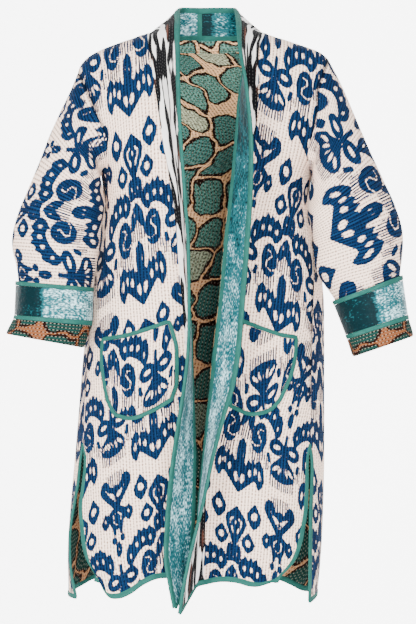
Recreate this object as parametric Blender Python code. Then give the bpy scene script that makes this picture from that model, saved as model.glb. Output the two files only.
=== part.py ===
"""Uzbek chapan robe: a knee-length quilted coat, worn open, with turned-back cuffs.

Millimetres throughout, turned into metres when a mesh is made. +X is the wearer's left,
-Y is the front and +Z is up. The origin lies at the middle of the shoulder line, where
the wearer's shoulders and neck carry the coat.

The body is a stack of superellipse rings. An angle turns round each ring: 0 is the side,
+90 the centre front and -90 the centre back. Every panel is a grid of points on those
rings, and the trims are the same points moved out along the cloth's normals.
"""

import math

import bpy
import numpy as np

# Cloth and trims.
CLOTH = 2.6             # quilted body cloth
TRIM = 1.3              # striped band that lies on the outside of each front
GAP = 0.3               # between neighbouring pieces
EDGE_BINDING = 11.0     # width of the binding along the fronts and the collar
HEM_BINDING = 8.0       # width of the binding on hems and slits
INNER_BINDING = 9.0     # width of the binding along the facing's inner side
POCKET_BINDING = 8.0
BINDING_RISE = 0.9      # how far a binding stands above the cloth on each side
RING_POWER = 2.3        # exponent of the superellipse rings
FOLD_RADIUS = 7.0       # tightest roll of a front band

# Body rings: half widths to the wearer's right and left, depths to the front and back.
RING_COLUMNS = ("z", "right", "left", "front", "back")
RINGS = (
    (-1010.0, 249.0, 196.0, 142.0, 140.0),
    (-909.0, 250.0, 205.0, 140.0, 136.0),
    (-819.0, 244.0, 209.0, 137.0, 132.0),
    (-729.0, 236.0, 210.5, 134.0, 128.0),
    (-549.0, 221.0, 210.5, 128.0, 118.0),
    (-459.0, 211.0, 209.5, 126.0, 115.0),
    (-369.0, 198.0, 199.0, 124.0, 114.0),
    (-300.0, 186.0, 184.0, 123.0, 118.0),
    (-256.0, 184.0, 182.0, 122.5, 120.0),
    (-228.0, 190.0, 188.0, 122.0, 122.0),
    (-200.0, 200.0, 197.0, 120.0, 122.0),
    (-166.0, 212.0, 211.0, 116.0, 121.0),
    (-129.0, 223.0, 222.0, 108.0, 117.0),
    (-85.0, 233.0, 232.0, 92.0, 108.0),
    (-50.0, 232.0, 231.0, 76.0, 97.0),
    (-27.0, 220.0, 219.0, 64.0, 86.0),
    (-13.0, 200.0, 203.0, 56.0, 76.0),
    (2.0, 164.0, 162.0, 48.0, 62.0),
    (12.0, 133.0, 131.0, 42.0, 50.0),
    (20.0, 108.0, 106.0, 36.0, 40.0),
)

# Side seam and slits: x where the front and the back end, from the underarm to the hem.
SEAM_COLUMNS = ("z", "front", "back")
SEAM_RIGHT = (
    (-228.0, 190.0, 190.0),
    (-256.0, 183.8, 183.8),
    (-300.0, 185.6, 185.6),
    (-369.0, 196.0, 196.0),
    (-549.0, 214.0, 214.0),
    (-718.0, 223.0, 223.0),
    (-742.0, 218.5, 228.0),
    (-790.0, 221.0, 233.5),
    (-830.0, 225.5, 240.5),
    (-866.0, 223.0, 246.0),
    (-902.0, 218.5, 248.0),
    (-930.0, 212.0, 247.5),
    (-961.0, 197.0, 244.0),
    (-991.0, 180.0, 238.0),
)
SEAM_LEFT = (
    (-228.0, 188.0, 188.0),
    (-256.0, 181.8, 181.8),
    (-300.0, 183.2, 183.2),
    (-369.0, 193.0, 193.0),
    (-549.0, 188.0, 188.0),
    (-718.0, 184.5, 184.5),
    (-742.0, 180.0, 189.0),
    (-790.0, 178.0, 189.5),
    (-830.0, 175.5, 188.5),
    (-866.0, 170.5, 188.0),
    (-902.0, 163.0, 187.5),
    (-938.0, 146.5, 187.0),
    (-961.0, 124.0, 186.5),
    (-997.0, 110.0, 186.0),
)

# Armholes, from the underarm to the shoulder point: ring angles on the front and back.
ARMHOLE_COLUMNS = ("z", "front", "back")
ARMHOLE_RIGHT = (
    (-228.0, 0.0, 0.0),
    (-218.0, 14.0, -13.0),
    (-198.0, 26.0, -24.0),
    (-166.0, 33.0, -30.0),
    (-129.0, 30.0, -28.0),
    (-92.0, 26.0, -24.0),
    (-68.0, 18.0, -17.0),
    (-54.0, 8.0, -8.0),
    (-50.0, 0.0, 0.0),
)
ARMHOLE_LEFT = (
    (-228.0, 0.0, 0.0),
    (-217.0, 13.0, -13.0),
    (-194.0, 24.0, -23.0),
    (-155.0, 28.0, -29.0),
    (-115.0, 30.0, -30.0),
    (-78.0, 32.0, -30.0),
    (-47.0, 26.0, -22.0),
    (-30.0, 12.0, -11.0),
    (-25.0, 0.0, 0.0),
)

# Front bands: seam x, flat cloth before the roll, and the free edge from that seam.
BAND_COLUMNS = ("z", "seam_x", "flat", "edge_x", "reach", "drop")
BAND_RIGHT = (
    (-1000.0, -36.0, 2.0, -57.0, 66.0, 66.0),
    (-948.0, -37.0, 2.0, -60.0, 68.0, 62.0),
    (-902.0, -34.0, 2.0, -76.0, 72.0, 22.0),
    (-837.0, -30.0, 2.0, -72.5, 72.0, 2.0),
    (-749.0, -29.0, 2.0, -63.0, 78.0, 0.0),
    (-686.0, -31.0, 2.0, -53.0, 82.0, 0.0),
    (-625.0, -34.0, 2.0, -43.0, 86.0, 0.0),
    (-576.0, -37.0, 2.0, -36.0, 88.0, 0.0),
    (-513.0, -40.0, 2.0, -32.0, 87.0, 0.0),
    (-459.0, -45.0, 2.0, -31.5, 87.0, 0.0),
    (-369.0, -52.0, 2.0, -32.0, 86.0, 0.0),
    (-279.0, -61.0, 2.0, -38.0, 85.0, 0.0),
    (-189.0, -76.0, 3.0, -44.0, 80.0, 0.0),
    (-135.0, -85.0, 3.0, -47.0, 76.0, 0.0),
    (-63.0, -96.0, 3.0, -49.0, 66.0, -4.0),
    (-9.0, -104.0, 3.0, -49.0, 40.0, -8.0),
    (12.0, -107.0, 3.0, -48.5, 22.0, -22.0),
    (20.0, -107.7, 3.0, -48.0, 8.0, -34.0),
)
BAND_LEFT = (
    (-1000.0, -7.0, 3.0, -54.0, 82.0, 60.0),
    (-954.0, -6.0, 3.0, -50.0, 84.0, 56.0),
    (-902.0, -3.6, 3.0, -32.0, 82.0, 16.0),
    (-830.0, -2.0, 4.0, -9.0, 80.0, 0.0),
    (-749.0, 4.0, 4.0, 9.0, 78.0, 0.0),
    (-666.0, 12.0, 5.0, 32.0, 71.0, 0.0),
    (-614.0, 18.0, 6.0, 48.0, 64.0, 0.0),
    (-562.0, 24.0, 8.0, 58.0, 60.0, 0.0),
    (-459.0, 38.0, 10.0, 67.0, 62.0, 0.0),
    (-342.0, 51.0, 13.0, 76.0, 63.0, 0.0),
    (-279.0, 60.0, 15.0, 80.0, 66.0, 0.0),
    (-189.0, 76.0, 22.0, 81.5, 71.0, 0.0),
    (-135.0, 90.0, 30.0, 78.0, 75.0, 0.0),
    (-63.0, 92.0, 20.0, 68.0, 74.0, -4.0),
    (-9.0, 93.6, 6.0, 56.0, 50.0, -8.0),
    (12.0, 101.0, 4.0, 53.0, 26.0, -22.0),
    (20.0, 105.7, 3.0, 51.0, 8.0, -34.0),
)

# Collar round the back of the neck: seam height and the free edge, by ring angle.
NECK_COLUMNS = ("angle", "seam_z", "edge_x", "edge_y", "edge_z")
NECK = (
    (0.0, 20.0, 49.0, -8.0, 54.0),
    (-20.0, 16.0, 49.5, 18.0, 62.0),
    (-45.0, 7.0, 48.0, 42.0, 68.0),
    (-67.0, -6.0, 36.0, 58.0, 70.0),
    (-90.0, -14.0, 0.0, 66.0, 70.0),
)
JOINT_TURN = 6.0        # ring angle from the centre back to that joint
COLLAR_JOINT_X = -13.5  # where the two facings meet under their tape

# Hems, by fraction from the side to the front band or to the centre back.
HEM_COLUMNS = ("fraction", "z")
HEM_FRONT_RIGHT = ((0.0, -961.0), (0.11, -984.0), (0.25, -989.5), (0.39, -984.0), (0.58, -964.0),
                   (0.7, -954.0), (0.8, -952.0), (1.0, -950.0))
HEM_FRONT_LEFT = ((0.0, -961.0), (0.32, -969.0), (0.71, -959.0), (0.89, -959.0), (1.0, -964.0))
HEM_BACK_RIGHT = ((0.0, -991.0), (0.18, -985.0), (0.44, -969.0), (0.52, -959.0), (0.7, -951.0),
                  (1.0, -952.0))
HEM_BACK_LEFT = ((0.0, -997.0), (0.19, -983.0), (0.5, -975.0), (0.58, -961.0), (0.64, -957.0),
                 (0.8, -951.0), (1.0, -952.0))

# Heights of the grid rows below the underarm, and the rows' upper ends above it.
LOWER_ROWS = (-902.0, -866.0, -830.0, -790.0, -742.0, -718.0, -666.0, -614.0, -562.0, -513.0,
              -459.0, -400.0, -342.0, -285.0, -228.0)
FRONT_UPPER_ROWS = (-189.0, -150.0, -107.0, -63.0, -25.0, -2.0, 12.0, 20.0)
BACK_UPPER_ROWS = (-205.0, -180.0, -150.0, -118.0, -85.0, -55.0, -32.0, -14.0)
SHOULDER_COLUMNS = 7    # grid columns along each shoulder seam
NECK_STEPS = 4          # grid columns from the neck point to the centre back
SLIT_ROW = 7            # grid row at the top of the slits
UNDERARM_ROW = 16       # grid row at the underarm
SLIT_START = 0.35       # where a slit's binding begins, from its top row to the next
SLIT_WIDTHS = ((-830.0, 8.0), (-790.0, 6.0), (-742.0, 4.6), (-726.0, 1.4))
SLEEVE_GAP = 0.8
CUFF_SIDES = 16
TAPE_WIDTH = 9.0
EDGE_GAP = 1.1          # from the facing's cloth to the edge binding
NECK_CLEARANCE = 0.9    # between the back's upper edge and the collar

# Sleeves: outer and inner outline in the front view, middle depth and half depth.
# Columns: outer_x, outer_z, inner_x, inner_z, middle_y, half_depth.
SLEEVE_RIGHT = (
    (-246.6, -84.6, -202.0, -236.0, -4.0, 75.0),
    (-264.6, -122.0, -193.0, -255.0, -10.0, 69.0),
    (-282.6, -162.0, -187.5, -273.0, -17.0, 65.0),
    (-300.6, -209.0, -186.0, -290.0, -26.0, 62.0),
    (-320.4, -257.0, -189.9, -310.0, -35.0, 61.0),
    (-338.4, -300.6, -196.2, -333.0, -44.0, 60.0),
    (-349.2, -340.2, -200.2, -354.6, -52.0, 59.0),
    (-349.2, -369.0, -204.3, -379.8, -58.0, 58.0),
    (-342.9, -394.2, -206.3, -405.0, -62.0, 56.0),
)
SLEEVE_LEFT = (
    (236.0, -60.0, 198.0, -238.0, -6.0, 72.0),
    (250.0, -90.0, 191.0, -254.0, -14.0, 70.0),
    (262.0, -119.0, 185.5, -271.0, -24.0, 66.0),
    (277.2, -154.8, 183.5, -288.0, -34.0, 64.0),
    (295.2, -196.2, 184.5, -304.2, -46.0, 63.0),
    (315.0, -239.4, 189.0, -325.8, -50.0, 62.0),
    (336.6, -286.2, 195.3, -352.8, -54.0, 61.0),
    (350.1, -329.4, 202.5, -383.4, -58.0, 60.0),
    (351.9, -361.8, 212.4, -415.8, -62.0, 58.0),
    (349.2, -390.6, 219.6, -437.4, -66.0, 56.0),
)

# Turned-back cuffs: the outline of their outer side at the turned end, at the lower
# binding and at the upper edge.
CUFF_RIGHT = (
    (-362.7, -520.0, -221.4, -545.4, -76.0, 60.0),
    (-347.4, -489.6, -206.5, -500.0, -74.0, 60.5),
    (-344.7, -424.8, -204.3, -436.5, -67.0, 61.5),
)
CUFF_LEFT = (
    (372.6, -523.8, 262.8, -561.6, -77.0, 59.0),
    (362.7, -489.6, 251.0, -525.6, -75.0, 60.0),
    (351.9, -414.0, 226.0, -460.8, -70.0, 62.0),
)
CUFF_JOINT = 0.33       # where the second outline lies, from the turned end to the top
SLEEVE_LEAN = 26.0      # how far the inner side of the upper sleeve swings forward
CUFF_DEPTH = 6.2        # from the cuff's outer side in to the middle of the sleeve
CUFF_RINGS = (0.985, 0.6, 0.3, 0.026)
# Columns: name, start, end, height under, height over, material.
CUFF_PARTS = (
    ("cuff_lower_binding", 0.292, 0.368, -3.1, 0.9, "binding"),
    ("cuff_velvet", 0.371, 0.918, -2.6, 0.0, "velvet"),
    ("cuff_upper_binding", 0.921, 1.0, -3.1, 0.9, "binding"),
)

# Pockets in the front view: each edge runs toward the centre or upward.
POCKET_INSET = 4.0
POCKET_WALL = (1.9, 3.7)
POCKET_BEAD = (1.6, 4.5)
POCKET_STEPS = 7
POCKET_RIGHT = {
    "top": ((-187.0, -531.0), (-150.0, -525.0), (-105.0, -512.0), (-66.6, -498.6)),
    "bottom": ((-178.0, -640.0), (-162.0, -666.0), (-138.0, -671.5), (-99.0, -658.0),
               (-63.0, -637.0)),
    "outer": ((-178.0, -640.0), (-186.0, -594.0), (-189.0, -561.0), (-187.0, -531.0)),
    "inner": ((-63.0, -637.0), (-54.0, -603.0), (-54.0, -552.6), (-66.6, -498.6)),
}
POCKET_LEFT = {
    "top": ((160.0, -527.0), (138.0, -524.0), (103.0, -513.0), (50.0, -493.0)),
    "bottom": ((139.0, -618.0), (127.0, -641.0), (106.0, -659.0), (80.0, -664.0),
               (42.0, -650.0)),
    "outer": ((139.0, -618.0), (152.0, -585.0), (157.0, -560.0), (160.0, -527.0)),
    "inner": ((42.0, -650.0), (38.0, -600.0), (40.0, -550.0), (50.0, -493.0)),
}


def column(table: tuple, names: tuple, name: str) -> np.ndarray:
    """Return one named column of a table."""
    return np.array([row[names.index(name)] for row in table])


def read(table: tuple, names: tuple, key: str, name: str, value) -> np.ndarray:
    """Read a column at any height, with a smooth curve through the table's rows."""
    keys = column(table, names, key)
    values = column(table, names, name)
    order = np.argsort(keys)
    return smooth_curve(keys[order], values[order], np.asarray(value, dtype=float))


def smooth_curve(keys: np.ndarray, values: np.ndarray, at: np.ndarray) -> np.ndarray:
    """Interpolate with monotone cubic pieces, which never overshoot the rows."""
    step = np.diff(keys)
    rise = np.diff(values) / step
    slope = np.zeros(len(keys))
    slope[0] = rise[0]
    slope[-1] = rise[-1]
    same = rise[:-1] * rise[1:] > 0.0
    safe = np.where(same, rise[:-1] + rise[1:], 1.0)
    slope[1:-1] = np.where(same, 2.0 * rise[:-1] * rise[1:] / safe, 0.0)
    at = np.clip(at, keys[0], keys[-1])
    index = np.clip(np.searchsorted(keys, at) - 1, 0, len(step) - 1)
    width = step[index]
    u = (at - keys[index]) / width
    start = (1.0 + 2.0 * u) * (1.0 - u) ** 2 * values[index]
    end = u * u * (3.0 - 2.0 * u) * values[index + 1]
    bend = u * (1.0 - u) * ((1.0 - u) * slope[index] - u * slope[index + 1]) * width
    return start + end + bend


def unit(vectors: np.ndarray) -> np.ndarray:
    """Scale vectors to length one."""
    return vectors / np.linalg.norm(vectors, axis=-1, keepdims=True)


def half_width(side: int, z) -> np.ndarray:
    """Half width of the ring on one side: -1 is the wearer's right, +1 the left."""
    return read(RINGS, RING_COLUMNS, "z", "left" if side > 0 else "right", z)


def ring_point(side: int, angle, z) -> np.ndarray:
    """Point on the body at a ring angle in degrees."""
    z = np.asarray(z, dtype=float)
    turn = np.radians(np.asarray(angle, dtype=float))
    across = np.sign(np.cos(turn)) * np.abs(np.cos(turn)) ** (2.0 / RING_POWER)
    along = np.sign(np.sin(turn)) * np.abs(np.sin(turn)) ** (2.0 / RING_POWER)
    front = read(RINGS, RING_COLUMNS, "z", "front", z)
    back = read(RINGS, RING_COLUMNS, "z", "back", z)
    depth = np.where(along > 0.0, front, back)
    x, y, z = np.broadcast_arrays(side * half_width(side, z) * across, -along * depth, z)
    return np.stack((x, y, z), axis=-1)


def ring_angle(side: int, x, z) -> np.ndarray:
    """Ring angle on the front half at which the body has a given x."""
    ratio = np.clip(side * np.asarray(x, dtype=float) / half_width(side, z), -1.0, 1.0)
    return np.degrees(np.arccos(np.sign(ratio) * np.abs(ratio) ** (RING_POWER / 2.0)))


def seam_angle(side: int, z, name: str) -> np.ndarray:
    """Ring angle of the side seam, or of a slit's front or back edge."""
    table = SEAM_LEFT if side > 0 else SEAM_RIGHT
    return ring_angle(side, side * read(table, SEAM_COLUMNS, "z", name, z), z)


def band_value(side: int, name: str, z) -> np.ndarray:
    """One column of the front band's table at a height."""
    return read(BAND_LEFT if side > 0 else BAND_RIGHT, BAND_COLUMNS, "z", name, z)


def band_angle(side: int, z) -> np.ndarray:
    """Ring angle of the seam that joins the front to its band."""
    return ring_angle(side, band_value(side, "seam_x", z), z)


def hem_z(table: tuple, fraction) -> np.ndarray:
    """Height of a hem at a fraction from the side."""
    return read(table, HEM_COLUMNS, "fraction", "z", fraction)


def coons(left: np.ndarray, right: np.ndarray, bottom: np.ndarray,
          top: np.ndarray) -> np.ndarray:
    """Fill a patch of (angle, z) pairs from its four edges."""
    rows = np.linspace(0.0, 1.0, len(left))[:, None, None]
    cols = np.linspace(0.0, 1.0, len(bottom))[None, :, None]
    across = (1.0 - cols) * left[:, None] + cols * right[:, None]
    upward = (1.0 - rows) * bottom[None] + rows * top[None]
    corners = ((1.0 - rows) * ((1.0 - cols) * left[0] + cols * right[0])
               + rows * ((1.0 - cols) * left[-1] + cols * right[-1]))
    return across + upward - corners


def lower_patch(side: int, name: str, hem: tuple, inner, steps: int) -> np.ndarray:
    """Grid of (angle, z) from the hem up to the underarm; inner gives its far edge."""
    cols = np.linspace(0.0, 1.0, steps + 1)
    levels = np.array(LOWER_ROWS)
    starts = hem_z(hem, cols)
    z = np.concatenate((starts[None], [(starts + levels[0]) / 2.0],
                        np.repeat(levels[:, None], steps + 1, axis=1)))
    outer = seam_angle(side, z[:, 0], name)
    far = inner(z[:, -1])
    angle = outer[:, None] + (far - outer)[:, None] * cols[None]
    return np.stack((angle, z), axis=-1)


def armhole(side: int, name: str) -> np.ndarray:
    """Armhole edge as (angle, z) pairs from the underarm to the shoulder point."""
    table = ARMHOLE_LEFT if side > 0 else ARMHOLE_RIGHT
    return np.stack((column(table, ARMHOLE_COLUMNS, name),
                     column(table, ARMHOLE_COLUMNS, "z")), axis=-1)


def shoulder(side: int) -> np.ndarray:
    """Shoulder seam as (angle, z) pairs from the armhole to the neck."""
    z = np.linspace(armhole(side, "front")[-1, 1], 20.0, SHOULDER_COLUMNS + 1)
    return np.stack((np.zeros_like(z), z), axis=-1)


def front_angles(side: int) -> np.ndarray:
    """Grid of (angle, z) of one front, from its side to the band's seam."""
    hem = HEM_FRONT_LEFT if side > 0 else HEM_FRONT_RIGHT
    low = lower_patch(side, "front", hem, lambda z: band_angle(side, z), SHOULDER_COLUMNS)
    heights = np.array((LOWER_ROWS[-1],) + FRONT_UPPER_ROWS)
    angles = band_angle(side, heights)
    angles[-1] = 0.0
    seam = np.stack((angles, heights), axis=-1)
    high = coons(armhole(side, "front"), seam, low[-1], shoulder(side))
    return np.concatenate((low, high[1:]))


def back_angles(side: int) -> np.ndarray:
    """Grid of (angle, z) of one half of the back, from its side to the centre back."""
    hem = HEM_BACK_LEFT if side > 0 else HEM_BACK_RIGHT
    steps = SHOULDER_COLUMNS + NECK_STEPS
    middle = -90.0 - JOINT_TURN * side
    low = lower_patch(side, "back", hem, lambda z: np.full_like(z, middle), steps)
    heights = np.array((LOWER_ROWS[-1],) + BACK_UPPER_ROWS)
    centre = np.stack((np.full_like(heights, middle), heights), axis=-1)
    turns = np.linspace(0.0, middle, NECK_STEPS + 1)[1:]
    neck = np.stack((turns, neck_value("seam_z", np.maximum(turns, -180.0 - turns))), axis=-1)
    top = np.concatenate((shoulder(side), neck))
    high = coons(armhole(side, "back"), centre, low[-1], top)
    return np.concatenate((low, high[1:]))


def neck_value(name: str, angle) -> np.ndarray:
    """One column of the neck's table at a ring angle."""
    return read(NECK, NECK_COLUMNS, "angle", name, angle)


def grid_normals(points: np.ndarray, side: float, closed: bool = False) -> np.ndarray:
    """Unit normals of a grid, on the side given by the order of rows and columns."""
    along = np.gradient(points, axis=0)
    if closed:
        around = np.roll(points, -1, axis=1) - np.roll(points, 1, axis=1)
    else:
        around = np.gradient(points, axis=1)
    return side * unit(np.cross(along, around))


def band_section(seam: np.ndarray, tangent: np.ndarray, edge: np.ndarray,
                 flat: float) -> np.ndarray:
    """Points across one front band: its seam, a rolled corner, the facing, the free edge."""
    corner = seam + tangent * flat
    radius = FOLD_RADIUS
    for _ in range(4):
        run = unit(edge - corner)
        bend = math.acos(float(np.clip(np.dot(run, tangent), -1.0, 1.0)))
        radius = FOLD_RADIUS + 60.0 * max(0.0, 1.0 - bend / math.radians(110.0)) ** 2
        leg = radius * math.tan(bend / 2.0)
        corner = seam + tangent * (flat + leg)
    inward = unit(run - tangent * np.dot(run, tangent))
    centre = seam + tangent * flat + inward * radius
    turns = np.linspace(0.0, bend, 4)[:, None]
    arc = centre + radius * (np.sin(turns) * tangent - np.cos(turns) * inward)
    length = np.linalg.norm(edge - arc[-1])
    stops = np.array((GAP, INNER_BINDING, 0.38 * length, 0.66 * length, length - EDGE_BINDING,
                      length - EDGE_BINDING + EDGE_GAP, length - 2.0, length))
    return np.concatenate((seam[None], arc, arc[-1] + run * stops[:, None]))


BAND_SEAM = 0           # columns of band_section
BAND_FACING = 5
BAND_INNER = 6
BAND_CLOTH_END = 9
BAND_EDGE = 10
BAND_LAST = 12


def band_grid(side: int, front: np.ndarray) -> np.ndarray:
    """Band of one side: a row for each row of the front, then rows round the neck."""
    rows = []
    for index, seam in enumerate(front[:, -1]):
        z = front[index, -1, 2]
        tangent = unit(front[index, -1] - front[index, -2])
        if index > 1:
            tangent = unit(tangent * np.array((1.0, 1.0, 0.3)))
        edge = np.array((float(band_value(side, "edge_x", z)),
                         seam[1] - float(band_value(side, "reach", z)),
                         z - float(band_value(side, "drop", z))))
        rows.append(band_section(seam, tangent, edge, float(band_value(side, "flat", z))))
    reach = -90.0 - JOINT_TURN * side
    for angle in np.linspace(0.0, reach, NECK_STEPS + 1)[1:]:
        rows.append(neck_section(side, float(angle)))
    return np.array(rows)


def neck_section(side: int, angle: float) -> np.ndarray:
    """Band section behind the shoulder seam, at a ring angle."""
    own = max(angle, -180.0 - angle)
    z = float(neck_value("seam_z", own))
    seam = ring_point(side, angle, z)
    below = ring_point(side, angle, z - 6.0)
    tangent = unit(seam - below)
    across = 1.0 if angle >= -90.0 else -1.0
    edge = np.array((side * across * float(neck_value("edge_x", own)),
                     float(neck_value("edge_y", own)), float(neck_value("edge_z", own))))
    if abs(angle + 90.0) < 8.0:
        seam[0] = edge[0] = COLLAR_JOINT_X + side * GAP / 2.0
        tangent = unit(tangent * np.array((0.0, 1.0, 1.0)))
    return band_section(seam + tangent * NECK_CLEARANCE, tangent, edge, 2.0)


class Piece:
    """Collects the triangles of one closed solid."""

    def __init__(self, name: str, material: bpy.types.Material):
        """Start an empty solid."""
        self.name = name
        self.material = material
        self.points = []
        self.faces = []
        self.count = 0

    def add_points(self, points: np.ndarray) -> np.ndarray:
        """Add a block of points and return their indices in the block's own shape."""
        flat = points.reshape(-1, 3)
        first = self.count
        self.points.append(flat)
        self.count += len(flat)
        return np.arange(first, self.count).reshape(points.shape[:-1])

    def add_strip(self, grid: np.ndarray, flip: bool) -> None:
        """Add two triangles for each cell of a grid of indices, always on one diagonal."""
        a = grid[:-1, :-1].ravel()
        b = grid[1:, :-1].ravel()
        c = grid[1:, 1:].ravel()
        d = grid[:-1, 1:].ravel()
        first = np.stack((a, b, c), axis=1)
        second = np.stack((a, c, d), axis=1)
        faces = np.concatenate((first, second))
        self.faces.append(faces[:, ::-1] if flip else faces)

    def build(self) -> bpy.types.Object:
        """Make the object, with its faces pointing out."""
        points = np.concatenate(self.points) * 0.001
        faces = np.concatenate(self.faces)
        corners = points[faces]
        volume = np.einsum("ij,ij->i", corners[:, 0], np.cross(corners[:, 1], corners[:, 2])).sum()
        if volume < 0.0:
            faces = faces[:, ::-1]
        mesh = bpy.data.meshes.new(self.name)
        mesh.from_pydata(points.tolist(), [], faces.tolist())
        mesh.materials.append(self.material)
        mesh.shade_smooth()
        mesh.set_sharp_from_angle(angle=math.radians(50.0))
        item = bpy.data.objects.new(self.name, mesh)
        bpy.context.scene.collection.objects.link(item)
        return item


def add_sheet(name: str, points: np.ndarray, normals: np.ndarray, low: float, high: float,
              material: bpy.types.Material) -> None:
    """Make a wall between two offsets of an open grid."""
    piece = Piece(name, material)
    under = piece.add_points(points + normals * low)
    over = piece.add_points(points + normals * high)
    piece.add_strip(over, False)
    piece.add_strip(under, True)
    for pair, flip in (((under[0], over[0]), False), ((under[-1], over[-1]), True),
                       ((under[:, 0], over[:, 0]), True), ((under[:, -1], over[:, -1]), False)):
        piece.add_strip(np.stack(pair), flip)
    piece.build()


def add_sweep(name: str, sections: np.ndarray, material: bpy.types.Material,
              ring: bool = False) -> None:
    """Make a solid from closed sections, with flat ends, or joined up as a ring."""
    piece = Piece(name, material)
    grid = piece.add_points(sections)
    grid = np.concatenate((grid, grid[:, :1]), axis=1)
    if ring:
        grid = np.concatenate((grid, grid[:1]))
    piece.add_strip(grid, False)
    if not ring:
        for end, flip in ((grid[0, :-1], False), (grid[-1, :-1], True)):
            fan = np.stack((np.full(len(end) - 2, end[0]), end[1:-1], end[2:]), axis=1)
            piece.faces.append(fan[:, ::-1] if flip else fan)
    piece.build()


def add_material(name: str, colour: tuple, roughness: float) -> bpy.types.Material:
    """Make a plain cloth material."""
    material = bpy.data.materials.new(name)
    material.use_nodes = True
    shader = material.node_tree.nodes["Principled BSDF"]
    shader.inputs["Base Color"].default_value = (*colour, 1.0)
    shader.inputs["Roughness"].default_value = roughness
    material.diffuse_color = (*colour, 1.0)
    return material


def bead_profile(width: float, low: float, high: float, start: float = GAP) -> np.ndarray:
    """Corners of a binding's section, as (distance out of the edge, height) pairs."""
    soft = min(1.6, 0.4 * (width - start))
    return np.array(((start, low), (width - soft, low), (width, low * 0.4),
                     (width, high * 0.55), (width - soft, high), (start, high)))


def place_bead(points: np.ndarray, normals: np.ndarray, outward: np.ndarray,
               profiles: np.ndarray) -> np.ndarray:
    """Sections of a binding along an edge, one for each of its points."""
    return (points[:, None] + outward[:, None] * profiles[..., :1]
            + normals[:, None] * profiles[..., 1:])


def mitred_outward(points: np.ndarray, normals: np.ndarray) -> np.ndarray:
    """Directions out of a closed loop's edge, lengthened where it turns a corner."""
    ahead = unit(np.roll(points, -1, axis=0) - points)
    behind = np.roll(ahead, 1, axis=0)
    out_ahead = unit(np.cross(ahead, normals))
    out_behind = unit(np.cross(behind, normals))
    middle = unit(out_ahead + out_behind)
    return middle / np.sum(middle * out_ahead, axis=1, keepdims=True)


def slit_edge(points: np.ndarray, normals: np.ndarray, edge: int, inner: int) -> tuple:
    """Points, normals and outward directions down a slit, from just below its top."""
    rows = slice(SLIT_ROW, 0, -1)
    line = points[rows, edge].copy()
    ups = normals[rows, edge].copy()
    line[0] += (line[1] - line[0]) * SLIT_START
    ups[0] = unit(ups[0] + (ups[1] - ups[0]) * SLIT_START)
    outward = unit(points[rows, edge] - points[rows, inner])
    outward[0] = outward[1]
    return line, ups, outward


def tube_ring(row: np.ndarray, angles: np.ndarray, inset: float = 0.0) -> np.ndarray:
    """Ring of a sleeve or cuff from its outline in the front view and its depth."""
    outer = np.array((row[0], 0.0, row[1]))
    inner = np.array((row[2], 0.0, row[3]))
    middle = (outer + inner) / 2.0
    middle[1] = row[4]
    half = (outer - inner) / 2.0
    half *= 1.0 - inset / np.linalg.norm(half)
    depth = np.array((0.0, -(row[5] - inset), 0.0))
    return (middle + half * np.cos(angles)[:, None] + depth * np.sin(angles)[:, None])


def square_to(vectors: np.ndarray, along: np.ndarray) -> np.ndarray:
    """Unit vectors with the part along a line taken out."""
    return unit(vectors - along * np.sum(vectors * along, axis=1, keepdims=True))


def cuff_row(side: int, fraction: float) -> np.ndarray:
    """Cuff outline at a fraction from its turned end (0) to its upper edge (1)."""
    table = np.array(CUFF_LEFT if side > 0 else CUFF_RIGHT)
    if fraction < CUFF_JOINT:
        share = fraction / CUFF_JOINT
        return table[0] + (table[1] - table[0]) * share
    share = (fraction - CUFF_JOINT) / (1.0 - CUFF_JOINT)
    return table[1] + (table[2] - table[1]) * share


def short_curve(points: tuple, steps: int) -> np.ndarray:
    """Even points along a smooth curve through a few (x, z) pairs."""
    points = np.array(points)
    run = np.concatenate(((0.0,), np.cumsum(np.linalg.norm(np.diff(points, axis=0), axis=1))))
    at = np.linspace(0.0, run[-1], steps + 1)
    return np.stack([smooth_curve(run, points[:, axis], at) for axis in (0, 1)], axis=-1)


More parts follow.
